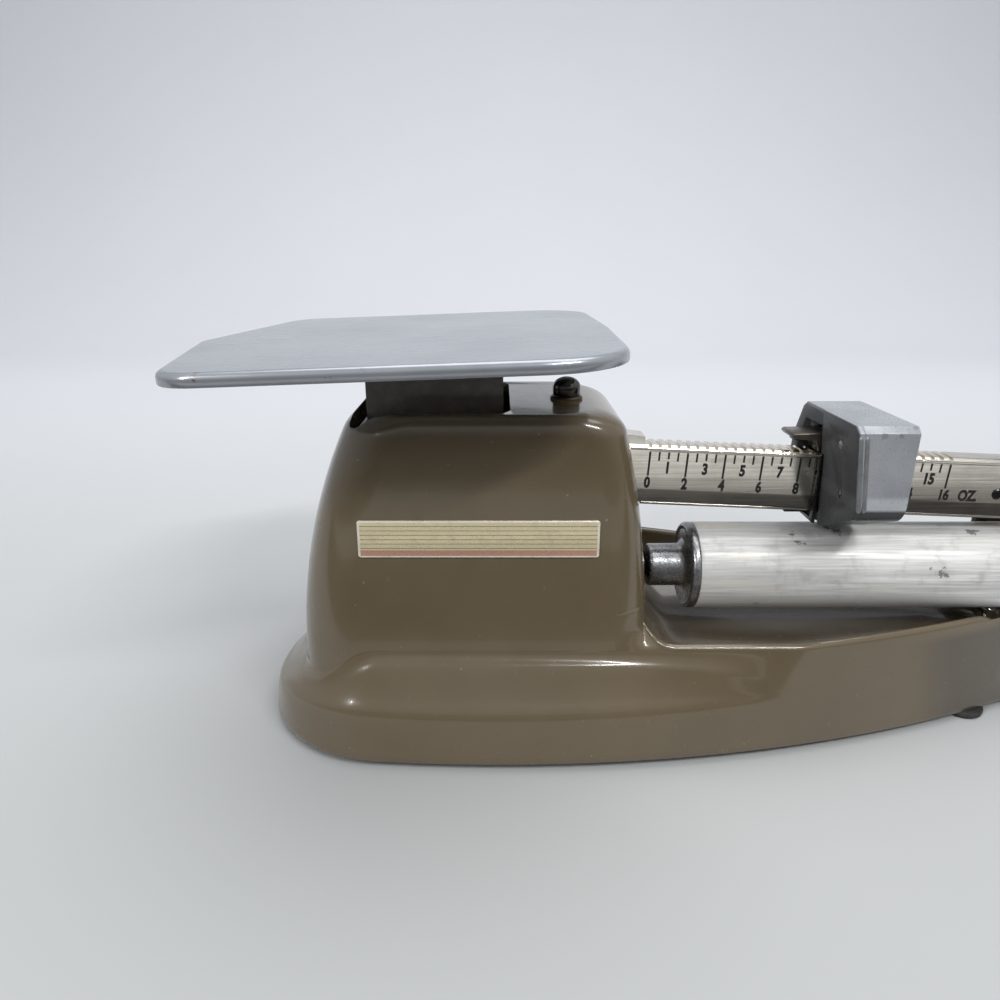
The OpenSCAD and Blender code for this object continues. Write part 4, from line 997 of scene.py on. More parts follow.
@dataclass
class CastHousing:
    """The enamelled casting: tower, skirt, trough with its two rails, ear and pad."""

    tower_h: float = 90.4
    tower_left: float = -52.5
    tower_right: float = 38.4
    tower_half: float = 27.7
    tower_top_half: float = 24.5
    left_bow_r: float = 143.0
    right_bow_r: float = 250.0
    left_corner_r: float = 14.0
    right_corner_r: float = 9.0
    crease_z: float = 28.7
    edge_gap: float = 2.2
    base_half: float = 37.0
    side_r: float = 400.0
    end_x: float = -30.0
    end_drop: float = 0.36
    nose_x: float = 151.0
    wall: float = 2.8
    front_rail_z: float = 31.5
    rear_rail_z: float = 44.2
    rear_fall: float = 0.13
    floor_z: float = 24.5
    rail_t: float = 2.6
    sweep_rise: float = 11.0
    edge_left: float = 4.5
    edge_right: float = 8.0
    edge_front: float = 2.6
    edge_down: float = 5.2
    fillet: float = 1.7
    drum_z: float = 42.0
    pylon_r: float = 6.4
    mouth: Point = (-36.5, 2.5, 20.6)
    slot_half: float = 6.5
    slot_z: Span = (60.2, 85.2)
    dip: float = 3.4
    dip_x: float = 131.0
    dip_run: float = 12.0
    floor_sweep_r: float = 12.0
    tuck_run: float = 7.6
    fold_z: float = 16.0

    def __post_init__(self) -> None:
        """Work out the places that follow from the sizes."""
        self.nose_r = float(self.side_half(self.nose_x))
        self.end_r = self.side_r - math.hypot(self.end_x, self.side_r - self.base_half)
        self.end_join = self.end_x * self.side_r / (self.side_r - self.end_r)
        self.join_turn = math.atan2(self.side_half(self.end_join), self.end_join - self.end_x)
        self.x_right = self.nose_x + self.nose_r
        self.lean = (self.tower_half - self.tower_top_half) / (self.tower_h - self.crease_z)
        self.bow_z = self.crease_z - 3.7
        self.sweep_x = self.tower_right - 1.9

    def side_half(self, x: Array) -> Array:
        """Half width of the base's edge: a long arc in plan."""
        return self.base_half - self.side_r + np.sqrt(self.side_r**2 - np.square(x))

    def wall_half(self, x: Array) -> Array:
        """Half width of the rails' outer walls."""
        edge = self.side_half(x)
        return np.minimum(self.tower_half, edge - np.minimum(1.8, edge / 4))

    def flank_left(self, z: Array) -> Array:
        """Left side of the tower at a height: a bowed arc above the crease."""
        rise = np.maximum(0.0, np.asarray(z, float) - self.bow_z)
        return self.tower_left + self.left_bow_r - np.sqrt(self.left_bow_r**2 - rise**2)

    def flank_right(self, z: Array) -> Array:
        """Right side of the tower at a height: a bowed arc above the crease."""
        rise = np.maximum(0.0, np.asarray(z, float) - self.bow_z)
        return self.tower_right - self.right_bow_r + np.sqrt(self.right_bow_r**2 - rise**2)

    def flank_half(self, z: Array) -> Array:
        """Half depth of the tower at a height, leaning in evenly."""
        return self.tower_half - (np.asarray(z, float) - self.crease_z) * self.lean

    def tower_rings(self, inset: float, low: float) -> Array:
        """Outlines of the tower from a low level over the rounded top edge.

        Up to the edge each ring is a rounded rectangle between the flanks. Over the
        edge the ring is drawn in by one less cosine and lifted by sine.

        Args:
            inset: How far the rings are drawn in, for the hollow.
            low: Height of the first ring.

        Returns:
            Rings by points by three.
        """
        shoulder = self.tower_h - self.edge_down
        plain = np.concatenate([np.linspace(low, self.crease_z, 4),
                                np.linspace(self.crease_z, shoulder, 28)[1:]])
        turn = np.concatenate([np.zeros(len(plain)), np.radians(np.linspace(0, 90, 13)[1:])])
        z = np.concatenate([plain, shoulder + self.edge_down * np.sin(turn[len(plain):])])
        draw = 1.0 - np.cos(turn)
        flat = rounded_boxes(self.flank_left(z) + inset + self.edge_left * draw,
                             self.flank_right(z) - inset - self.edge_right * draw,
                             self.flank_half(z) - inset - self.edge_front * draw,
                             self.left_corner_r - inset, self.right_corner_r - inset)
        level = np.broadcast_to((z - inset)[:, None, None], (*flat.shape[:2], 1))
        return np.concatenate([flat, level], axis=-1)

    def tower(self) -> bpy.types.Object:
        """Build the hollow tower with its mouth and beam slot."""
        outside = self.tower_rings(0.0, 13.0)
        middle = outside[-1].mean(axis=0)
        support = middle + (outside[-1] - middle) * [0.985, 0.985, 1.0]
        body = Shell().grid(np.concatenate([outside, support[None]])).build("cast_tower")
        hollow = Shell().grid(self.tower_rings(self.wall, 12.0)).build("tower_hollow")
        left, right, half = self.mouth
        ring = rounded_boxes([left], right, half, 4.0, 4.0)[0]
        levels = np.array([self.tower_h - self.wall - 4.0, self.tower_h + 1.0])
        rows = np.stack([np.column_stack([ring, np.full(len(ring), z)]) for z in levels])
        (low, high), half = self.slot_z, self.slot_half
        slot = softened([[-half, low], [half, low], [half, high], [-half, high]], 2.0)
        side = np.stack([np.column_stack([np.full(len(slot), x), slot]) for x in (20.0, 50.0)])
        cut(body, hollow, Shell().grid(rows).build("mouth_tool"),
            Shell().grid(side).build("slot_tool"))
        return bevelled(body, 0.45, 2, 42.0)

    def skirt_curve(self) -> tuple[Array, Array]:
        """Profile of the skirt, shares of the way in and heights, with a level ledge after it."""
        share = [0.0, 0.03, 0.08, 0.135, 0.22, 0.36, 0.52, 0.66, 0.78, 0.89, 1.0]
        height = [3.8, 8.0, 13.0, 15.9, 17.6, 19.5, 22.2, 24.8, 26.9, 28.2, self.crease_z]
        curve = through(np.column_stack([share, height]), 200)
        ledge = np.column_stack([np.linspace(1.02, 1.7, 20), np.full(20, self.crease_z)])
        both = np.concatenate([curve, ledge])
        return both[:, 0], both[:, 1]

    def path(self) -> dict[str, Array]:
        """Stations along half of the base, from the left end to the nose's tip.

        The left end is an arc, the side is the long arc in plan and the nose is a
        cubic curve that leaves the side at its slope. Each station has its edge
        point, its unit direction inwards, the distance to the wall, the share of it
        at which the tower or rail stands, and the share that the heights keep.

        Returns:
            Arrays by name; y is the distance from the middle line.
        """
        t = np.linspace(0.5, 1.0, 30)
        turn = self.join_turn + (2 * math.pi - 2 * self.join_turn) * t
        cos, sin = np.cos(turn), -np.sin(turn)
        crease = self.tower_half + 0.1 - 2.3 * np.sin(np.pi * t)
        width = self.end_r - crease
        outline = rounded_boxes([self.tower_left], self.tower_right, self.tower_half,
                                self.left_corner_r, self.right_corner_r)[0]
        polar = np.arctan2(outline[:, 1], outline[:, 0] - self.end_x)
        reach = np.hypot(outline[:, 0] - self.end_x, outline[:, 1])
        order = np.argsort(polar)
        tower_reach = np.interp(np.arctan2(sin, cos), polar[order], reach[order], period=2 * np.pi)
        end = {"edge": np.column_stack([self.end_x + self.end_r * cos, self.end_r * sin]),
               "inward": np.column_stack([-cos, -sin]), "width": width,
               "stand": (self.end_r - tower_reach) / width,
               "keep": 1.0 - self.end_drop * np.sin(np.pi * t) ** 2}
        stretches = ((self.end_join, 27.0, 26), (27.0, 52.0, 46), (52.0, 143.0, 44))
        x = np.concatenate([np.linspace(*stretch)[1:] for stretch in stretches])
        half, wall = self.side_half(x), self.wall_half(x)
        side = {"edge": np.column_stack([x, half]),
                "inward": np.column_stack([np.zeros(len(x)), -np.ones(len(x))]),
                "width": half - wall, "stand": np.ones(len(x)), "keep": np.ones(len(x))}
        nose = self.nose_path(x[-1])
        return {key: np.concatenate([end[key], side[key], nose[key]]) for key in end}

    def nose_path(self, start: float) -> dict[str, Array]:
        """Stations round half of the nose, on two cubic curves for edge and wall."""
        t = np.linspace(0.0, 1.0, 19)[1:, None]

        def cubic(half: float, tip: float) -> Array:
            """Cubic from (start, half) along the side's slope to (tip, 0), ending across."""
            slope = -start / math.sqrt(self.side_r**2 - start**2)
            a = np.array([start, half])
            b = a + np.array([1.0, slope]) * (tip - start) * 0.58
            d = np.array([tip, 0.0])
            c = d + np.array([0.0, half * 0.55])
            return (1 - t) ** 3 * a + 3 * t * (1 - t) ** 2 * b + 3 * t**2 * (1 - t) * c + t**3 * d

        edge = cubic(float(self.side_half(start)), self.x_right)
        wall = cubic(float(self.wall_half(start)), self.x_right - 1.8)
        step = wall - edge
        width = np.linalg.norm(step, axis=1)
        return {"edge": edge, "inward": step / width[:, None], "width": width,
                "stand": np.ones(len(edge)), "keep": np.ones(len(edge))}

    def sunk(self, x: Array) -> Array:
        """How far the rails dip towards the nose."""
        return self.dip * ease((x - self.dip_x) / self.dip_run)

    def clear_of_tower(self, x: Array) -> Array:
        """Share of the way out of the tower, inside which the trough folds up."""
        return ease((x - 30.0) / 4.5)

    def rail_top(self, x: Array, side: int) -> Array:
        """Height of the front (-1) or rear (1) rail along the base."""
        dip = self.sunk(x)
        t = np.clip((self.sweep_x + 8.6 - x) / 9.6, 0.0, 0.995)
        sweep = self.sweep_rise * (1.0 - np.sqrt(1.0 - t * t))
        if side < 0:
            return self.front_rail_z - dip + sweep
        fall = self.rear_fall * np.maximum(0.0, x - self.tower_right)
        down = 8.0 * ease((x - self.dip_x) / (self.nose_x - self.dip_x))
        return np.maximum(self.front_rail_z, self.rear_rail_z - fall - down) - dip + sweep / 3

    def tuck(self, x: Array, z: Array) -> Array:
        """How far the front rail draws in to meet the tower's rounded right corner.

        The depth is that of the corner's circle up to a place short of its end, from
        where it fades out along the rail; it grows from none just above the crease.
        """
        r = self.right_corner_r
        run = x - (self.tower_right - r)
        depth = r - np.sqrt(r * r - np.clip(run, 0.0, self.tuck_run) ** 2)
        fade = 1.0 - ease((run - self.tuck_run) / 7.0)
        return depth * fade * ease((z - self.crease_z - 1.3) / 6.0)

    def half_base(self, side: int) -> Array:
        """Surface of half of the base: each station carries one closed profile.

        The profile runs from the inner roof down the inner wall, round the lower
        edge, up the skirt, through the crease's fillet, up the rail, over its round
        crown and down an elliptic curve to the trough's floor.

        Args:
            side: -1 for the front, 1 for the rear.

        Returns:
            Stations by profile points by three.
        """
        way = self.path()
        edge, inward, width = way["edge"], way["inward"], way["width"][:, None]
        keep, x = way["keep"][:, None], way["edge"][:, :1]
        share, height = self.skirt_curve()
        steps = np.linspace(0.0, 1.0, len(share))
        stand = way["stand"][:, None]
        toe = np.interp(stand - self.fillet / width, share, steps)
        q = toe * np.linspace(0.0, 1.0, 30)
        skirt_in = np.interp(q, steps, share) * width
        skirt_z = self.edge_gap + (np.interp(q, steps, height) - self.edge_gap) * keep
        root_z = self.edge_gap + (np.interp(np.interp(stand, share, steps), steps, height)
                                  - self.edge_gap) * keep
        wall_in = stand * width
        t = np.linspace(0.0, 1.0, 9)[1:]
        fillet_in = (1 - t) ** 2 * skirt_in[:, -1:] + (1 - (1 - t) ** 2) * wall_in
        fillet_z = ((1 - t) ** 2 * skirt_z[:, -1:] + 2 * t * (1 - t) * root_z
                    + t**2 * (root_z + self.fillet))
        across = np.abs(inward[:, 1:])
        lean = lambda z: (z - self.crease_z) * self.lean * across
        fillet_in = fillet_in + lean(fillet_z) * t**2
        on_tower = 1.0 - ease((x - 26.0) / 3.4)
        low_top = root_z + 3.4
        top = low_top + (self.rail_top(x, side) - low_top) * (1 - ease((27.0 - x) / 5.0))
        r = self.rail_t / 2
        sink = 0.35 * on_tower
        foot = root_z + self.fillet
        up = np.linspace(0.0, 1.0, 6)[1:]
        rail_z = foot + (top - r - foot) * up
        rail_in = wall_in + lean(rail_z) + sink * np.minimum(1.0, up * 3)
        if side < 0:
            rail_in = rail_in + self.tuck(x, rail_z)
        turn = np.linspace(0.0, np.pi, 13)[1:]
        crown_in = rail_in[:, -1:] + r * (1 - np.cos(turn))
        crown_z = top - r + r * np.sin(turn)
        skin_in = np.concatenate([skirt_in, fillet_in, rail_in, crown_in], axis=1)
        skin_z = np.concatenate([skirt_z, fillet_z, rail_z, crown_z], axis=1)
        flat = edge[:, None, :] + inward[:, None, :] * skin_in[..., None]
        trough, trough_z = self.trough(x, flat[:, -1], crown_z[:, -1:], side)
        hollow, hollow_z = self.hollow(way, x, keep, trough[:, -1], trough_z[:, -1:])
        rim_in = np.array([0.9, 0.25])
        rim = edge[:, None, :] + inward[:, None, :] * rim_in[None, :, None]
        rim_z = np.broadcast_to(np.array([self.edge_gap, self.edge_gap + 0.35]), rim.shape[:2])
        plan = np.concatenate([hollow, rim, flat, trough], axis=1)
        level = np.concatenate([hollow_z, rim_z, skin_z, trough_z], axis=1)
        return np.concatenate([plan[..., :1], side * plan[..., 1:], level[..., None]], axis=-1)

    def trough(self, x: Array, start: Array, start_z: Array, side: int) -> tuple[Array, Array]:
        """Inner side of a rail down to the floor, a quarter of an ellipse at each station.

        Inside the tower the curve folds up into the wall, out of sight.

        Args:
            x: Place of each station.
            start: Inner foot of the crown in plan.
            start_z: Its height.
            side: -1 for the front, 1 for the rear; not used.

        Returns:
            Plan points and heights, stations by points.
        """
        r = self.floor_sweep_r
        reach = np.clip(self.sweep_x + 1.5 + r - x, 0.0, r)
        swept = r - np.sqrt(r * r - reach**2)
        sunk = self.floor_z - self.sunk(x) / 3 + swept
        low = np.minimum(start_z + 0.1, sunk + 8.0 * ease((x - self.nose_x + 8.0) / 6.0))
        spine = np.concatenate([np.minimum(x, self.nose_x), np.zeros_like(x)], axis=1)
        turn = np.linspace(90.0, 0.0, 17)[1:]
        sin, cos = np.sin(np.radians(turn)), np.cos(np.radians(turn))
        plan = spine[:, None] + (start - spine)[:, None] * sin[None, :, None]
        z = low + (start_z - low) * (1 - cos)
        open_share = self.clear_of_tower(x)
        tucked = np.broadcast_to(start[:, None], plan.shape)
        down = start_z - (start_z - self.fold_z) * np.linspace(0.0, 1.0, 17)[1:]
        plan = tucked + (plan - tucked) * open_share[..., None]
        return plan, down + (z - down) * open_share

    def hollow(self, way: dict[str, Array], x: Array, keep: Array, floor: Array,
               floor_z: Array) -> tuple[Array, Array]:
        """Underside of the casting, from below the floor down the inner wall.

        Args:
            way: The stations.
            x: Place of each station.
            keep: Share that the heights keep.
            floor: Innermost trough point in plan.
            floor_z: Its height.

        Returns:
            Plan points and heights, stations by points.
        """
        open_share = self.clear_of_tower(x)
        roof_z = self.floor_z - self.wall
        down = np.array([1.0, 0.86, 0.6, 0.3, 0.0])
        skirt_in = np.interp(roof_z * down, [2.2, 8.0, 13.0, 17.6, 22.2],
                             [0.0, 0.03, 0.08, 0.22, 0.52])
        inner = self.wall + 0.4 + skirt_in * way["width"][:, None] * 0.9
        plan = way["edge"][:, None] + way["inward"][:, None] * inner[..., None]
        z = self.edge_gap + (roof_z - self.edge_gap) * down * keep
        closed_z = self.fold_z + (roof_z - self.fold_z) * open_share
        top = np.where(open_share > 0, closed_z, floor_z)
        plan = np.concatenate([floor[:, None], plan], axis=1)
        return plan, np.concatenate([top, z], axis=1)

    def ear(self, shell: Shell) -> None:
        """Add the ear at the nose that carries the drum's right pivot: a round-topped slab."""
        outline = np.concatenate([[[-self.pylon_r - 1.2, 20.0], [self.pylon_r + 1.2, 20.0],
                                   [self.pylon_r + 0.2, 29.5]],
                                  arc((0.0, self.drum_z), self.pylon_r, 0.0, 180.0, 22),
                                  [[-self.pylon_r - 0.2, 29.5]]])
        shell.prism(outline, self.nose_x - 1.8, self.nose_x + 5.2, "x", 0.9)

    def pad(self, shell: Shell) -> None:
        """Add the cast pad on the rear of the nose, under the guide post."""
        shell.prism(softened([[142.8, 4.1], [154.6, 4.1], [154.6, 27.0], [142.8, 27.0]], 1.5),
                    1.0, 12.68, "y", 0.5)

    def dress(self, finishes: Finishes) -> None:
        """Build the casting's pieces and settle them on the base."""
        shell = Shell()
        for side in (-1, 1):
            shell.grid(self.half_base(side), closed=False, ends=False)
        self.ear(shell)
        self.pad(shell)
        for piece in (shell.build("cast_base", 40.0), self.tower()):
            settle(piece, "base", "enamel", finishes["enamel"], ("housing",))


@dataclass
class LetterPan:
    """The pan: pressed sheet with pointed ends and a turned-down rim."""

    x: float = -26.7
    z: float = 106.6
    lean: float = 2.12
    half: float = 54.4
    left: float = 39.3
    left_tip: float = 50.6
    right: float = 53.0
    right_tip: float = 54.6
    corner: float = 10.0
    right_corner: float = 18.0
    rim_h: float = 2.9
    sheet: float = 1.2
    lip: float = 1.4

    def outline(self, inset: float) -> Array:
        """Six-cornered outline drawn in by inset, its corners arcs of the reduced radii."""
        left, right, half = inset - self.left, self.right - inset, self.half - inset
        p = np.array([[left, -half], [right, -half], [self.right_tip - inset, 0.0], [right, half],
                      [left, half], [inset - self.left_tip, 0.0]])
        radius = np.array([self.corner, self.right_corner, self.corner,
                           self.right_corner, self.corner, self.corner])[:, None] - inset
        back = np.roll(p, 1, axis=0) - p
        ahead = np.roll(p, -1, axis=0) - p
        a = back / np.linalg.norm(back, axis=1, keepdims=True)
        b = ahead / np.linalg.norm(ahead, axis=1, keepdims=True)
        bend = np.arccos(np.clip((a * b).sum(1), -1, 1))[:, None]
        middle = a + b
        middle = middle / np.linalg.norm(middle, axis=1, keepdims=True)
        centre = p + middle * radius / np.sin(bend / 2)
        spoke = p + a * radius / np.tan(bend / 2) - centre
        start = np.arctan2(spoke[:, 1], spoke[:, 0])[:, None]
        turn = start + (np.pi - bend) * np.linspace(0.0, 1.0, 11)
        corner = centre[:, None] + radius[:, None] * np.stack([np.cos(turn), np.sin(turn)], axis=-1)
        after = np.roll(corner, -1, axis=0)[:, :1]
        share = np.array([0.02, 0.25, 0.5, 0.75, 0.98])[:, None]
        side = corner[:, -1:] + (after - corner[:, -1:]) * share
        return np.concatenate([corner, side], axis=1).reshape(-1, 2)

    def dress(self, finishes: Finishes) -> None:
        """Build the pan from rings of its outline and settle it on the platform.

        Rings grow from the middle to the lip, roll over it by sine and cosine, turn
        round the rim's lower edge and come back under the sheet.
        """
        flat = self.outline(self.lip)
        tiers = [(flat * s, 0.0) for s in (0.0, 0.3, 0.6, 0.85, 0.97, 0.995)]
        for a in np.radians(np.linspace(90, 0, 9)):
            tiers.append((self.outline(self.lip * (1 - math.cos(a))), self.lip * (math.sin(a) - 1)))
        under = self.lip + 0.4
        edge = [(0.0, 0.25), (0.12, 0.07), (0.4, 0.0), (self.sheet - 0.3, 0.0), (self.sheet, 0.3)]
        tiers += [(self.outline(inset), rise - self.rim_h) for inset, rise in edge]
        tiers += [(self.outline(self.sheet), -under), (self.outline(under), -self.sheet)]
        tiers += [(self.outline(under) * s, -self.sheet) for s in (0.97, 0.6, 0.3, 0.0)]
        rows = np.stack([np.column_stack([p, np.full(len(p), z)]) for p, z in tiers])
        grid = leaned(rows, -self.lean, (self.x, 0.0, self.z))
        piece = Shell().grid(grid, ends=False).build("letter_pan", 50.0)
        settle(piece, "platform", "pan_grey", finishes["pan_grey"], ("pan",))


@dataclass
class BeamScale:
    """What is stamped and printed on the beam: ticks, plain numbers, lip and line."""

    fulcrum: tuple[float, float, float] = (-4.0, 0.0, 66.0)
    rest: float = 2.54
    face_half: float = 4.1
    top: float = 14.1
    low: float = -2.3
    zero_at: float = 43.3
    ounce: float = 5.02
    capacity: int = 16
    end: float = 146.12
    skin: float = 0.03
    digit: float = 3.3
    odd_drop: float = 4.3
    even_drop: float = 8.6
    narrow: float = 0.74
    depth: float = 0.2

    def leaned_bar(self, shell: Shell, rows: list[Array]) -> None:
        """Add a bar through given ends, leaned with the beam."""
        shell.grid(leaned(np.stack(rows), self.rest, self.fulcrum))

    def mark(self, shell: Shell, x: float, drop: float, length: float, width: float) -> None:
        """Add one tick: a thin block on the face, leaned with the beam."""
        y, half = -self.face_half - self.skin, width / 2
        box = np.array([[x - half, y], [x + half, y], [x + half, y + self.depth],
                        [x - half, y + self.depth]])
        levels = [self.top - drop, self.top - drop - length]
        self.leaned_bar(shell, [np.column_stack([box, np.full(4, z)]) for z in levels])

    def ticks(self) -> bpy.types.Object:
        """Build a tick for every half ounce, long ones at the even ounces."""
        shell = Shell()
        for k in range(2 * self.capacity + 1):
            kind = {0: (6.7, 0.54), 2: (1.9, 0.52)}.get(k % 4, (2.4, 0.48))
            self.mark(shell, self.zero_at + k * self.ounce / 2, 1.75, *kind)
        return shell.build("beam_ticks")

    def word(self, text: str, x: float, drop: float, height: float) -> bpy.types.Object:
        """Set a plain number on the face, as a thin raised mesh.

        Args:
            text: The characters.
            x: Middle along the beam.
            drop: Distance of the characters' top below the face's top.
            height: Height of the characters.

        Returns:
            The mesh object, in place.
        """
        curve = bpy.data.curves.new("number", "FONT")
        curve.body = text
        curve.align_x = "CENTER"
        curve.size = 1.0
        curve.extrude = 0.02
        curve.offset = 0.05
        curve.resolution_u = 4
        shape = placed("number", curve)
        bpy.context.view_layer.update()
        made = shape.evaluated_get(bpy.context.evaluated_depsgraph_get())
        mesh = bpy.data.meshes.new_from_object(made)
        bpy.data.objects.remove(shape)
        co = np.zeros(len(mesh.vertices) * 3)
        mesh.vertices.foreach_get("co", co)
        co = co.reshape(-1, 3)
        scale = height / (co[:, 1].max() - co[:, 1].min())
        flat = np.column_stack([co[:, 0] * scale * self.narrow + x,
                                -self.face_half - self.skin - co[:, 2],
                                self.top - drop - height + (co[:, 1] - co[:, 1].min()) * scale])
        mesh.vertices.foreach_set("co", metres(leaned(flat, self.rest, self.fulcrum)).ravel())
        mesh.update()
        return placed("number", mesh)

    def numbers(self) -> bpy.types.Object:
        """Build all numbers as one mesh: odd ounces in the upper row, even ones below."""
        words = [self.word(str(n), self.zero_at + n * self.ounce,
                           self.odd_drop if n % 2 else self.even_drop, self.digit)
                 for n in range(self.capacity + 1)]
        last = self.zero_at + self.capacity * self.ounce
        words.append(self.word("OZ.", last + 6.6, self.even_drop, self.digit))
        work = bmesh.new()
        for piece in words:
            work.from_mesh(piece.data)
            bpy.data.objects.remove(piece)
        bmesh.ops.remove_doubles(work, verts=work.verts, dist=1e-6)
        bmesh.ops.recalc_face_normals(work, faces=work.faces)
        mesh = bpy.data.meshes.new("beam_numbers")
        work.to_mesh(mesh)
        work.free()
        return placed("beam_numbers", mesh)

    def lip(self) -> bpy.types.Object:
        """Build the rolled lips along the face's upper and lower edges: half-round bars."""
        shell = Shell()
        for z, r in ((self.top - 0.95, 0.42), (self.low + 0.45, 0.34)):
            ring = arc((-self.face_half + 0.12, z), r, 0.0, 345.0, 23)
            self.leaned_bar(shell, [np.column_stack([np.full(len(ring), x), ring])
                                    for x in (self.zero_at - 1.0, self.end - 0.3)])
        return shell.build("beam_lips")

    def groove(self) -> bpy.types.Object:
        """Build the dark line under the upper lip."""
        y, high, low = -self.face_half - self.skin, self.top - 1.5, self.top - 1.62
        box = np.array([[y, high], [y, low], [y + self.depth, low], [y + self.depth, high]])
        shell = Shell()
        self.leaned_bar(shell, [np.column_stack([np.full(4, x), box])
                                for x in (self.zero_at, self.end - 0.4)])
        return shell.build("beam_groove")

    def dress(self, finishes: Finishes) -> None:
        """Build the beam's markings and settle them on the beam."""
        for make in (self.ticks, self.numbers, self.groove):
            settle(make(), "beam", "nickel", finishes["ink"])
        settle(self.lip(), "beam", "nickel", finishes["nickel"])


@dataclass
class RateDrum:
    """The drum: a bare tube between two cast caps, turned about X."""

    z: float = 42.0
    radius: float = 12.2
    wall: float = 1.6
    x0: float = 51.9
    x1: float = 145.8
    cap_t: float = 2.4
    hub_len: float = 10.3
    hub_r: float = 6.0
    bore: float = 2.05
    plug: float = 6.0
    turns: int = 96

    def solid(self, name: str, profile: Array) -> bpy.types.Object:
        """Turn a profile of places and radii about the drum's axis."""
        return Shell().grid(revolved(profile, self.z, self.turns), ends=False).build(name, 40.0)

    def dress(self, finishes: Finishes) -> None:
        """Build tube and caps as revolved profiles and settle them on the drum."""
        r, hub, x0, x1 = self.radius, self.hub_r, self.x0, self.x1
        inner = r - self.wall
        seat = inner - 0.02
        a, b = x0 + self.cap_t, x1 - self.cap_t
        end = [(0.02, inner), (0.02, r - 0.3), (0.1, r - 0.09), (0.3, r), (1.2, r)]
        tube = [[a + step, reach] for step, reach in end]
        tube += [[b - step, reach] for step, reach in end[::-1]] + tube[:1]
        h0, root = x0 - self.hub_len, 2.0
        fillet = [[x0 - root + root * math.sin(t), hub + root - root * math.cos(t)]
                  for t in np.radians(np.linspace(0, 90, 9))]
        left = [[h0, self.bore], [h0, hub - 0.8], [h0 + 0.25, hub - 0.25], [h0 + 0.8, hub],
                [h0 + 1.2, hub], *fillet, [x0 + 0.35, r - 2.2], [x0 + 0.35, r - 1.6],
                [x0, r - 1.1], [x0 + 0.12, r - 0.6], [x0 + 0.4, r - 0.25], [x0 + 0.9, r],
                [a - 0.3, r], [a - 0.12, r - 0.1], [a, r - 0.3], [a, seat],
                [a + self.plug, seat], [a + self.plug, self.bore], [h0, self.bore]]
        right = [[b - self.plug, self.bore], [b - self.plug, seat], [b, seat], [b, r - 0.2],
                 [b + 0.3, r], [x1 - 0.9, r], [x1 - 0.4, r - 0.3], [x1, r - 1.1],
                 [x1 - 0.4, r - 1.6], [x1 - 0.4, hub + 0.3], [x1, hub], [x1 + 1.8, hub],
                 [x1 + 2.4, hub - 0.6], [x1 + 2.4, self.bore], [b - self.plug, self.bore]]
        for name, profile, slot, node in (
                ("drum_sleeve", tube, "bare_aluminium", "drum_tube"),
                ("drum_end_left", left, "cap_casting", "drum_cap_left"),
                ("drum_end_right", right, "cap_casting", "drum_cap_right")):
            settle(self.solid(name, profile), "drum", slot, finishes[slot], (node,))


@dataclass
class Poise:
    """The sliding weight: softened copies of its castings, with two ribs on its front."""

    x0: float = 83.72
    x1: float = 98.72
    front: float = 23.9
    back: float = -4.6
    top: float = 87.7
    knee: float = 68.3
    draft: float = 0.147
    rib_low: float = 66.2
    rib_high: float = 85.6
    rib_r: float = 0.6
    dome: float = 1.2

    ROWS = (
        ("poise_body", "poise_block", "poise_casting", 0.7, 0.0),
        ("poise_cover", "poise_side", "poise_casting", 0.35, 0.0),
        ("poise_screws", "cover_screws", "screw_steel", 0.1, 0.0),
        ("index_plate", "index_blade", "black_steel", 0.12, 1.5),
    )

    def drawn_in(self, x: Array, y: Array, z: Array) -> Array:
        """Places along x with the front half's left end drawn in below the top.

        The shift grows evenly from the top down to the knee and fades to none at the
        right end; behind the beam's front face nothing moves.
        """
        fall = self.draft * (self.top - np.maximum(z, self.knee))
        share = np.clip((self.x1 - x) / (self.x1 - self.x0), 0.0, 1.0)
        return x + np.where(y < self.back + 0.1, fall * share, 0.0)

    def ribs(self) -> bpy.types.Object:
        """Build the two upright beads at the cover's joint: half rounds with domed ends.

        Each bead is a line of rings whose radius follows the square root of one less
        the square of the place near its ends.
        """
        shell = Shell()
        rise, fall = np.linspace(0, np.pi / 2, 7), np.linspace(np.pi / 2, 0, 7)
        z = np.concatenate([self.rib_low + self.dome * (1 - np.cos(rise)),
                            self.rib_high - self.dome * (1 - np.cos(fall))])
        reach = self.rib_r * np.sin(np.concatenate([rise, fall]))[:, None]
        turn = np.linspace(0, 2 * np.pi, 20, endpoint=False)
        for x in (self.x0 + 0.7, self.x0 + 2.25):
            rows = np.stack([self.drawn_in(x, -self.front, z)[:, None] + reach * np.cos(turn),
                             -self.front + 0.25 - reach * np.sin(turn),
                             np.broadcast_to(z[:, None], (len(z), len(turn)))], axis=-1)
            shell.grid(rows, ends=False)
        return shell.build("poise_ribs", 60.0)

    def dress(self, finishes: Finishes) -> None:
        """Build the softened castings and the ribs, and settle them on the poise."""
        for node, name, slot, width, step in self.ROWS:
            piece = copied(node, name)
            flat = np.empty(3 * len(piece.data.vertices))
            piece.data.vertices.foreach_get("co", flat)
            place = flat.reshape(-1, 3) * 1000.0 + [MIDDLE_X, 0.0, 0.0]
            place[:, 0] = place[:, 0] + step if step else self.drawn_in(*place.T)
            piece.data.vertices.foreach_set("co", metres(place).ravel())
            piece = bevelled(piece, width, 3, 25.0)
            settle(piece, "poise", slot, finishes[slot], (node,))
        settle(self.ribs(), "poise", "poise_casting", finishes["zinc_casting"])


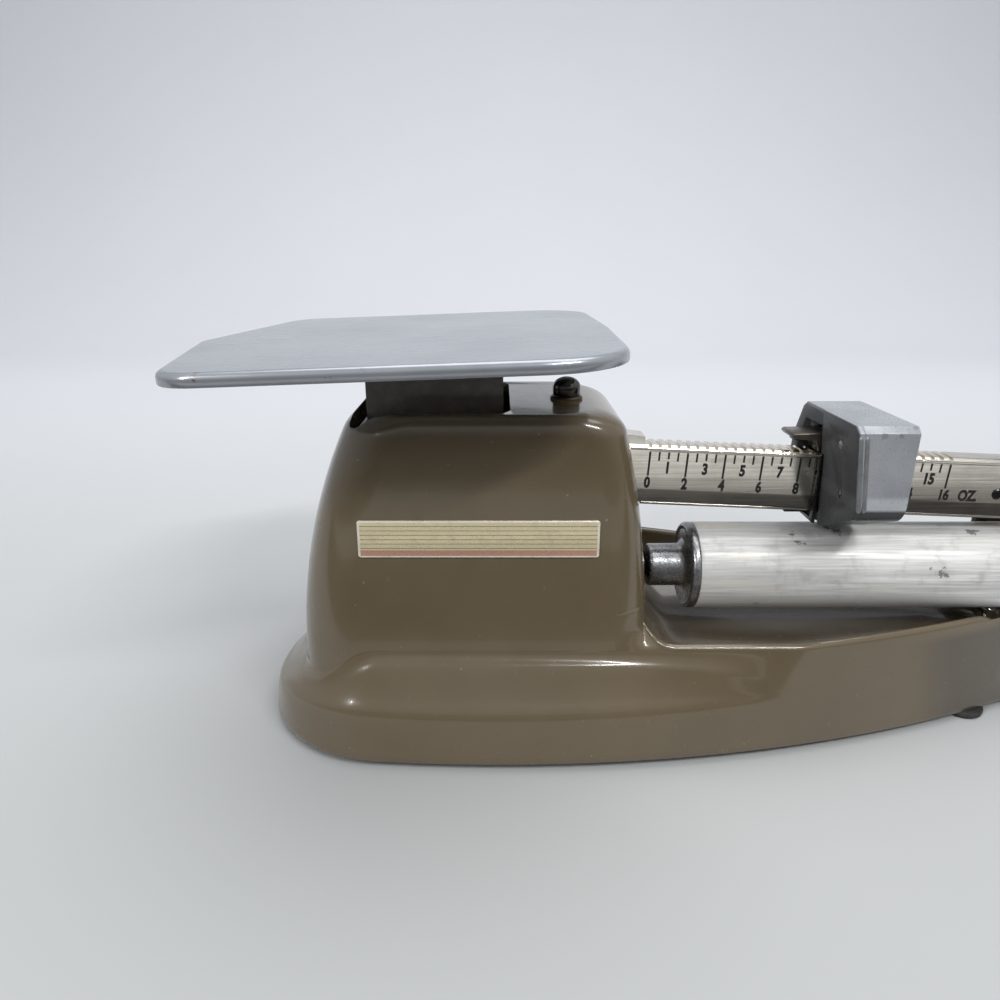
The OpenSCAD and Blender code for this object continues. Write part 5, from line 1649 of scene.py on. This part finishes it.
class SmallParts:
    """CAD pieces whose shape is right and only needs softer corners."""

    ROWS = (
        ("platform_bracket", "pan_bracket", "platform", "bracket_dark", 0.35),
        ("poise_pawl", "pawl_finger", "pawl", "pawl_brown", 0.25),
        ("guide_post", "beam_guide", "base", "black_steel", 0.3),
        ("beam_tip", "beam_plug", "beam", "black_steel", 0.3),
        ("nameplate", "front_plate", "base", "plate_foil", 0.12),
        ("adjusting_screw", "zero_screw", "adjuster", "dark_chrome", 0.15),
        ("left_pivot", "drum_pivot_left", "base", "black_steel", 0.15),
    )

    def dress(self, finishes: Finishes) -> None:
        """Copy each piece, round its corners and settle it where the node was."""
        for node, name, body, slot, width in self.ROWS:
            piece = bevelled(copied(node, name), width, 2, 28.0)
            settle(piece, body, slot, finishes[slot], (node,))


@dataclass
class Studio:
    """Camera, floor, backdrop and lamps of the photograph's view."""

    camera_x: float = 0.0
    camera_y: float = -188.5
    camera_z: float = 127.8
    tilt: float = 70.6
    lens: float = 26.0
    floor: Colour = (0.415, 0.425, 0.42)
    wall: Colour = (0.70, 0.715, 0.745)
    black: Colour = (0.012, 0.011, 0.010)
    near_strip: Span = (-0.212, -0.100)
    far_strip: float = -0.345
    dim: Colour = (0.16, 0.155, 0.15)
    bright: Colour = (0.86, 0.88, 0.92)
    room_power: float = 0.60

    LAMPS = (
        ("ceiling_panel", (150.0, 250.0, 1500.0), (0.0, 0.0, 0.0), (1500.0, 1000.0), 13.0),
        ("strip_right", (435.0, -680.0, 850.0), (60.0, -30.0, 20.0), (560.0, 44.0), 6.4),
        ("strip_left", (-640.0, -640.0, 620.0), (-50.0, -20.0, 40.0), (44.0, 420.0), 3.4),
    )

    def camera(self) -> None:
        """Place the camera at the photograph's viewpoint."""
        data = bpy.data.cameras.new("view")
        data.lens = self.lens
        data.sensor_width = 36.0
        data.clip_start = 0.005
        camera = placed("view", data)
        camera.location = metres([self.camera_x, self.camera_y, self.camera_z])
        camera.rotation_euler = (math.radians(self.tilt), 0.0, 0.0)
        bpy.context.scene.camera = camera

    def paper(self) -> bpy.types.Material:
        """Make the backdrop paper: a little darker near the reader, with faint clouds.

        Two strips before the scale are black to every ray but the lens's, as black cards
        under the lens would be, so the casting's front mirrors them.
        """
        board = FinishBoard("studio_paper")
        parts = board.axes()
        far = board.ramp(parts["Y"], -0.2, 0.6)
        cloud = board.effect(Effect.BLOTCH, Scale=4.0, Low=0.2, High=0.9, Detail=2.0)
        colour = board.blend(far, self.floor, self.wall)
        shade_share = board.times(cloud["Mask"], 0.04)
        colour = board.blend(shade_share, colour, (0.3, 0.3, 0.3))
        y = parts["Y"]
        far, close = self.near_strip
        near = board.times(board.maths("LESS_THAN", y, close), board.maths("GREATER_THAN", y, far))
        strips = board.maths("MAXIMUM", near, board.maths("LESS_THAN", y, self.far_strip))
        seen = board.add("ShaderNodeLightPath").outputs["Is Camera Ray"]
        hidden = board.times(strips, board.inverse(seen))
        board.join(Base_Color=board.blend(hidden, colour, self.black), Roughness=0.65,
                   Specular_IOR_Level=0.2)
        return board.material

    def sheet(self, name: str, profile: Array, material: bpy.types.Material) -> None:
        """Carry a profile of y and z along x as one open sheet that faces up.

        Args:
            name: The sheet's name.
            profile: Rows of y and z.
            material: Its material.
        """
        x = np.linspace(-1600.0, 1700.0, 3)
        rows = np.stack([np.column_stack([np.full(len(profile), v), profile]) for v in x])
        mesh = Shell().grid(rows, closed=False, ends=False).mesh(name)
        mesh.flip_normals()
        shade(mesh, 60.0)
        mesh.materials.append(material)
        placed(name, mesh)

    def lamp(self, name: str, place: Point, aim: Point, size: Span, power: float) -> None:
        """Add a soft rectangular lamp that faces a point.

        Args:
            name: The lamp's name.
            place: Where it hangs, in millimetres.
            aim: The point that it faces.
            size: Its two sides in millimetres.
            power: Its power in watts.
        """
        data = bpy.data.lights.new(name, "AREA")
        data.shape = "RECTANGLE"
        data.size, data.size_y = size[0] * 0.001, size[1] * 0.001
        data.energy = power
        lamp = placed(name, data)
        lamp.location = metres(place)
        line = Vector(metres(aim)) - Vector(metres(place))
        lamp.rotation_euler = line.to_track_quat("-Z", "Y").to_matrix().to_euler()

    def world(self) -> None:
        """Light the room: bright overhead and behind, dim low down on the reader's side."""
        world = bpy.data.worlds.new("studio_room")
        bpy.context.scene.world = world
        world.use_nodes = True
        board = NodeBoard(world.node_tree)
        way = board.add("ShaderNodeTexCoord").outputs["Generated"]
        parts = board.add("ShaderNodeSeparateXYZ", Vector=way).outputs
        rise = board.maths("ADD", parts["Z"], board.times(parts["Y"], 0.25))
        share = board.ramp(rise, -0.34, 0.22)
        seen = board.add("ShaderNodeLightPath").outputs["Is Camera Ray"]
        share = board.maths("MAXIMUM", share, seen)
        back = world.node_tree.nodes["Background"]
        board.feed(back.inputs["Color"], board.blend(share, self.dim, self.bright))
        back.inputs["Strength"].default_value = self.room_power

    def dress(self) -> None:
        """Set up the whole stage."""
        bpy.context.scene.view_settings.view_transform = "Standard"
        self.camera()
        profile = np.concatenate([[[-900.0, 0.0], [200.0, 0.0]],
                                  arc((700.0, 500.0), 500.0, 270.0, 360.0, 24),
                                  [[1200.0, 1600.0]]])
        self.sheet("studio_sweep", profile, self.paper())
        self.world()
        for row in self.LAMPS:
            self.lamp(*row)


def main() -> None:
    """Build every part of the scene in order and report it."""
    logging.basicConfig(level=logging.INFO, format="%(message)s")
    Studio().dress()
    finishes = Finishes()
    finishes.dress_frame()
    for assembly in (CastHousing(), LetterPan(), BeamScale(), RateDrum(), Poise(), SmallParts()):
        assembly.dress(finishes)
        log.info("%s is dressed", type(assembly).__name__)


if __name__ == "__main__":
    main()
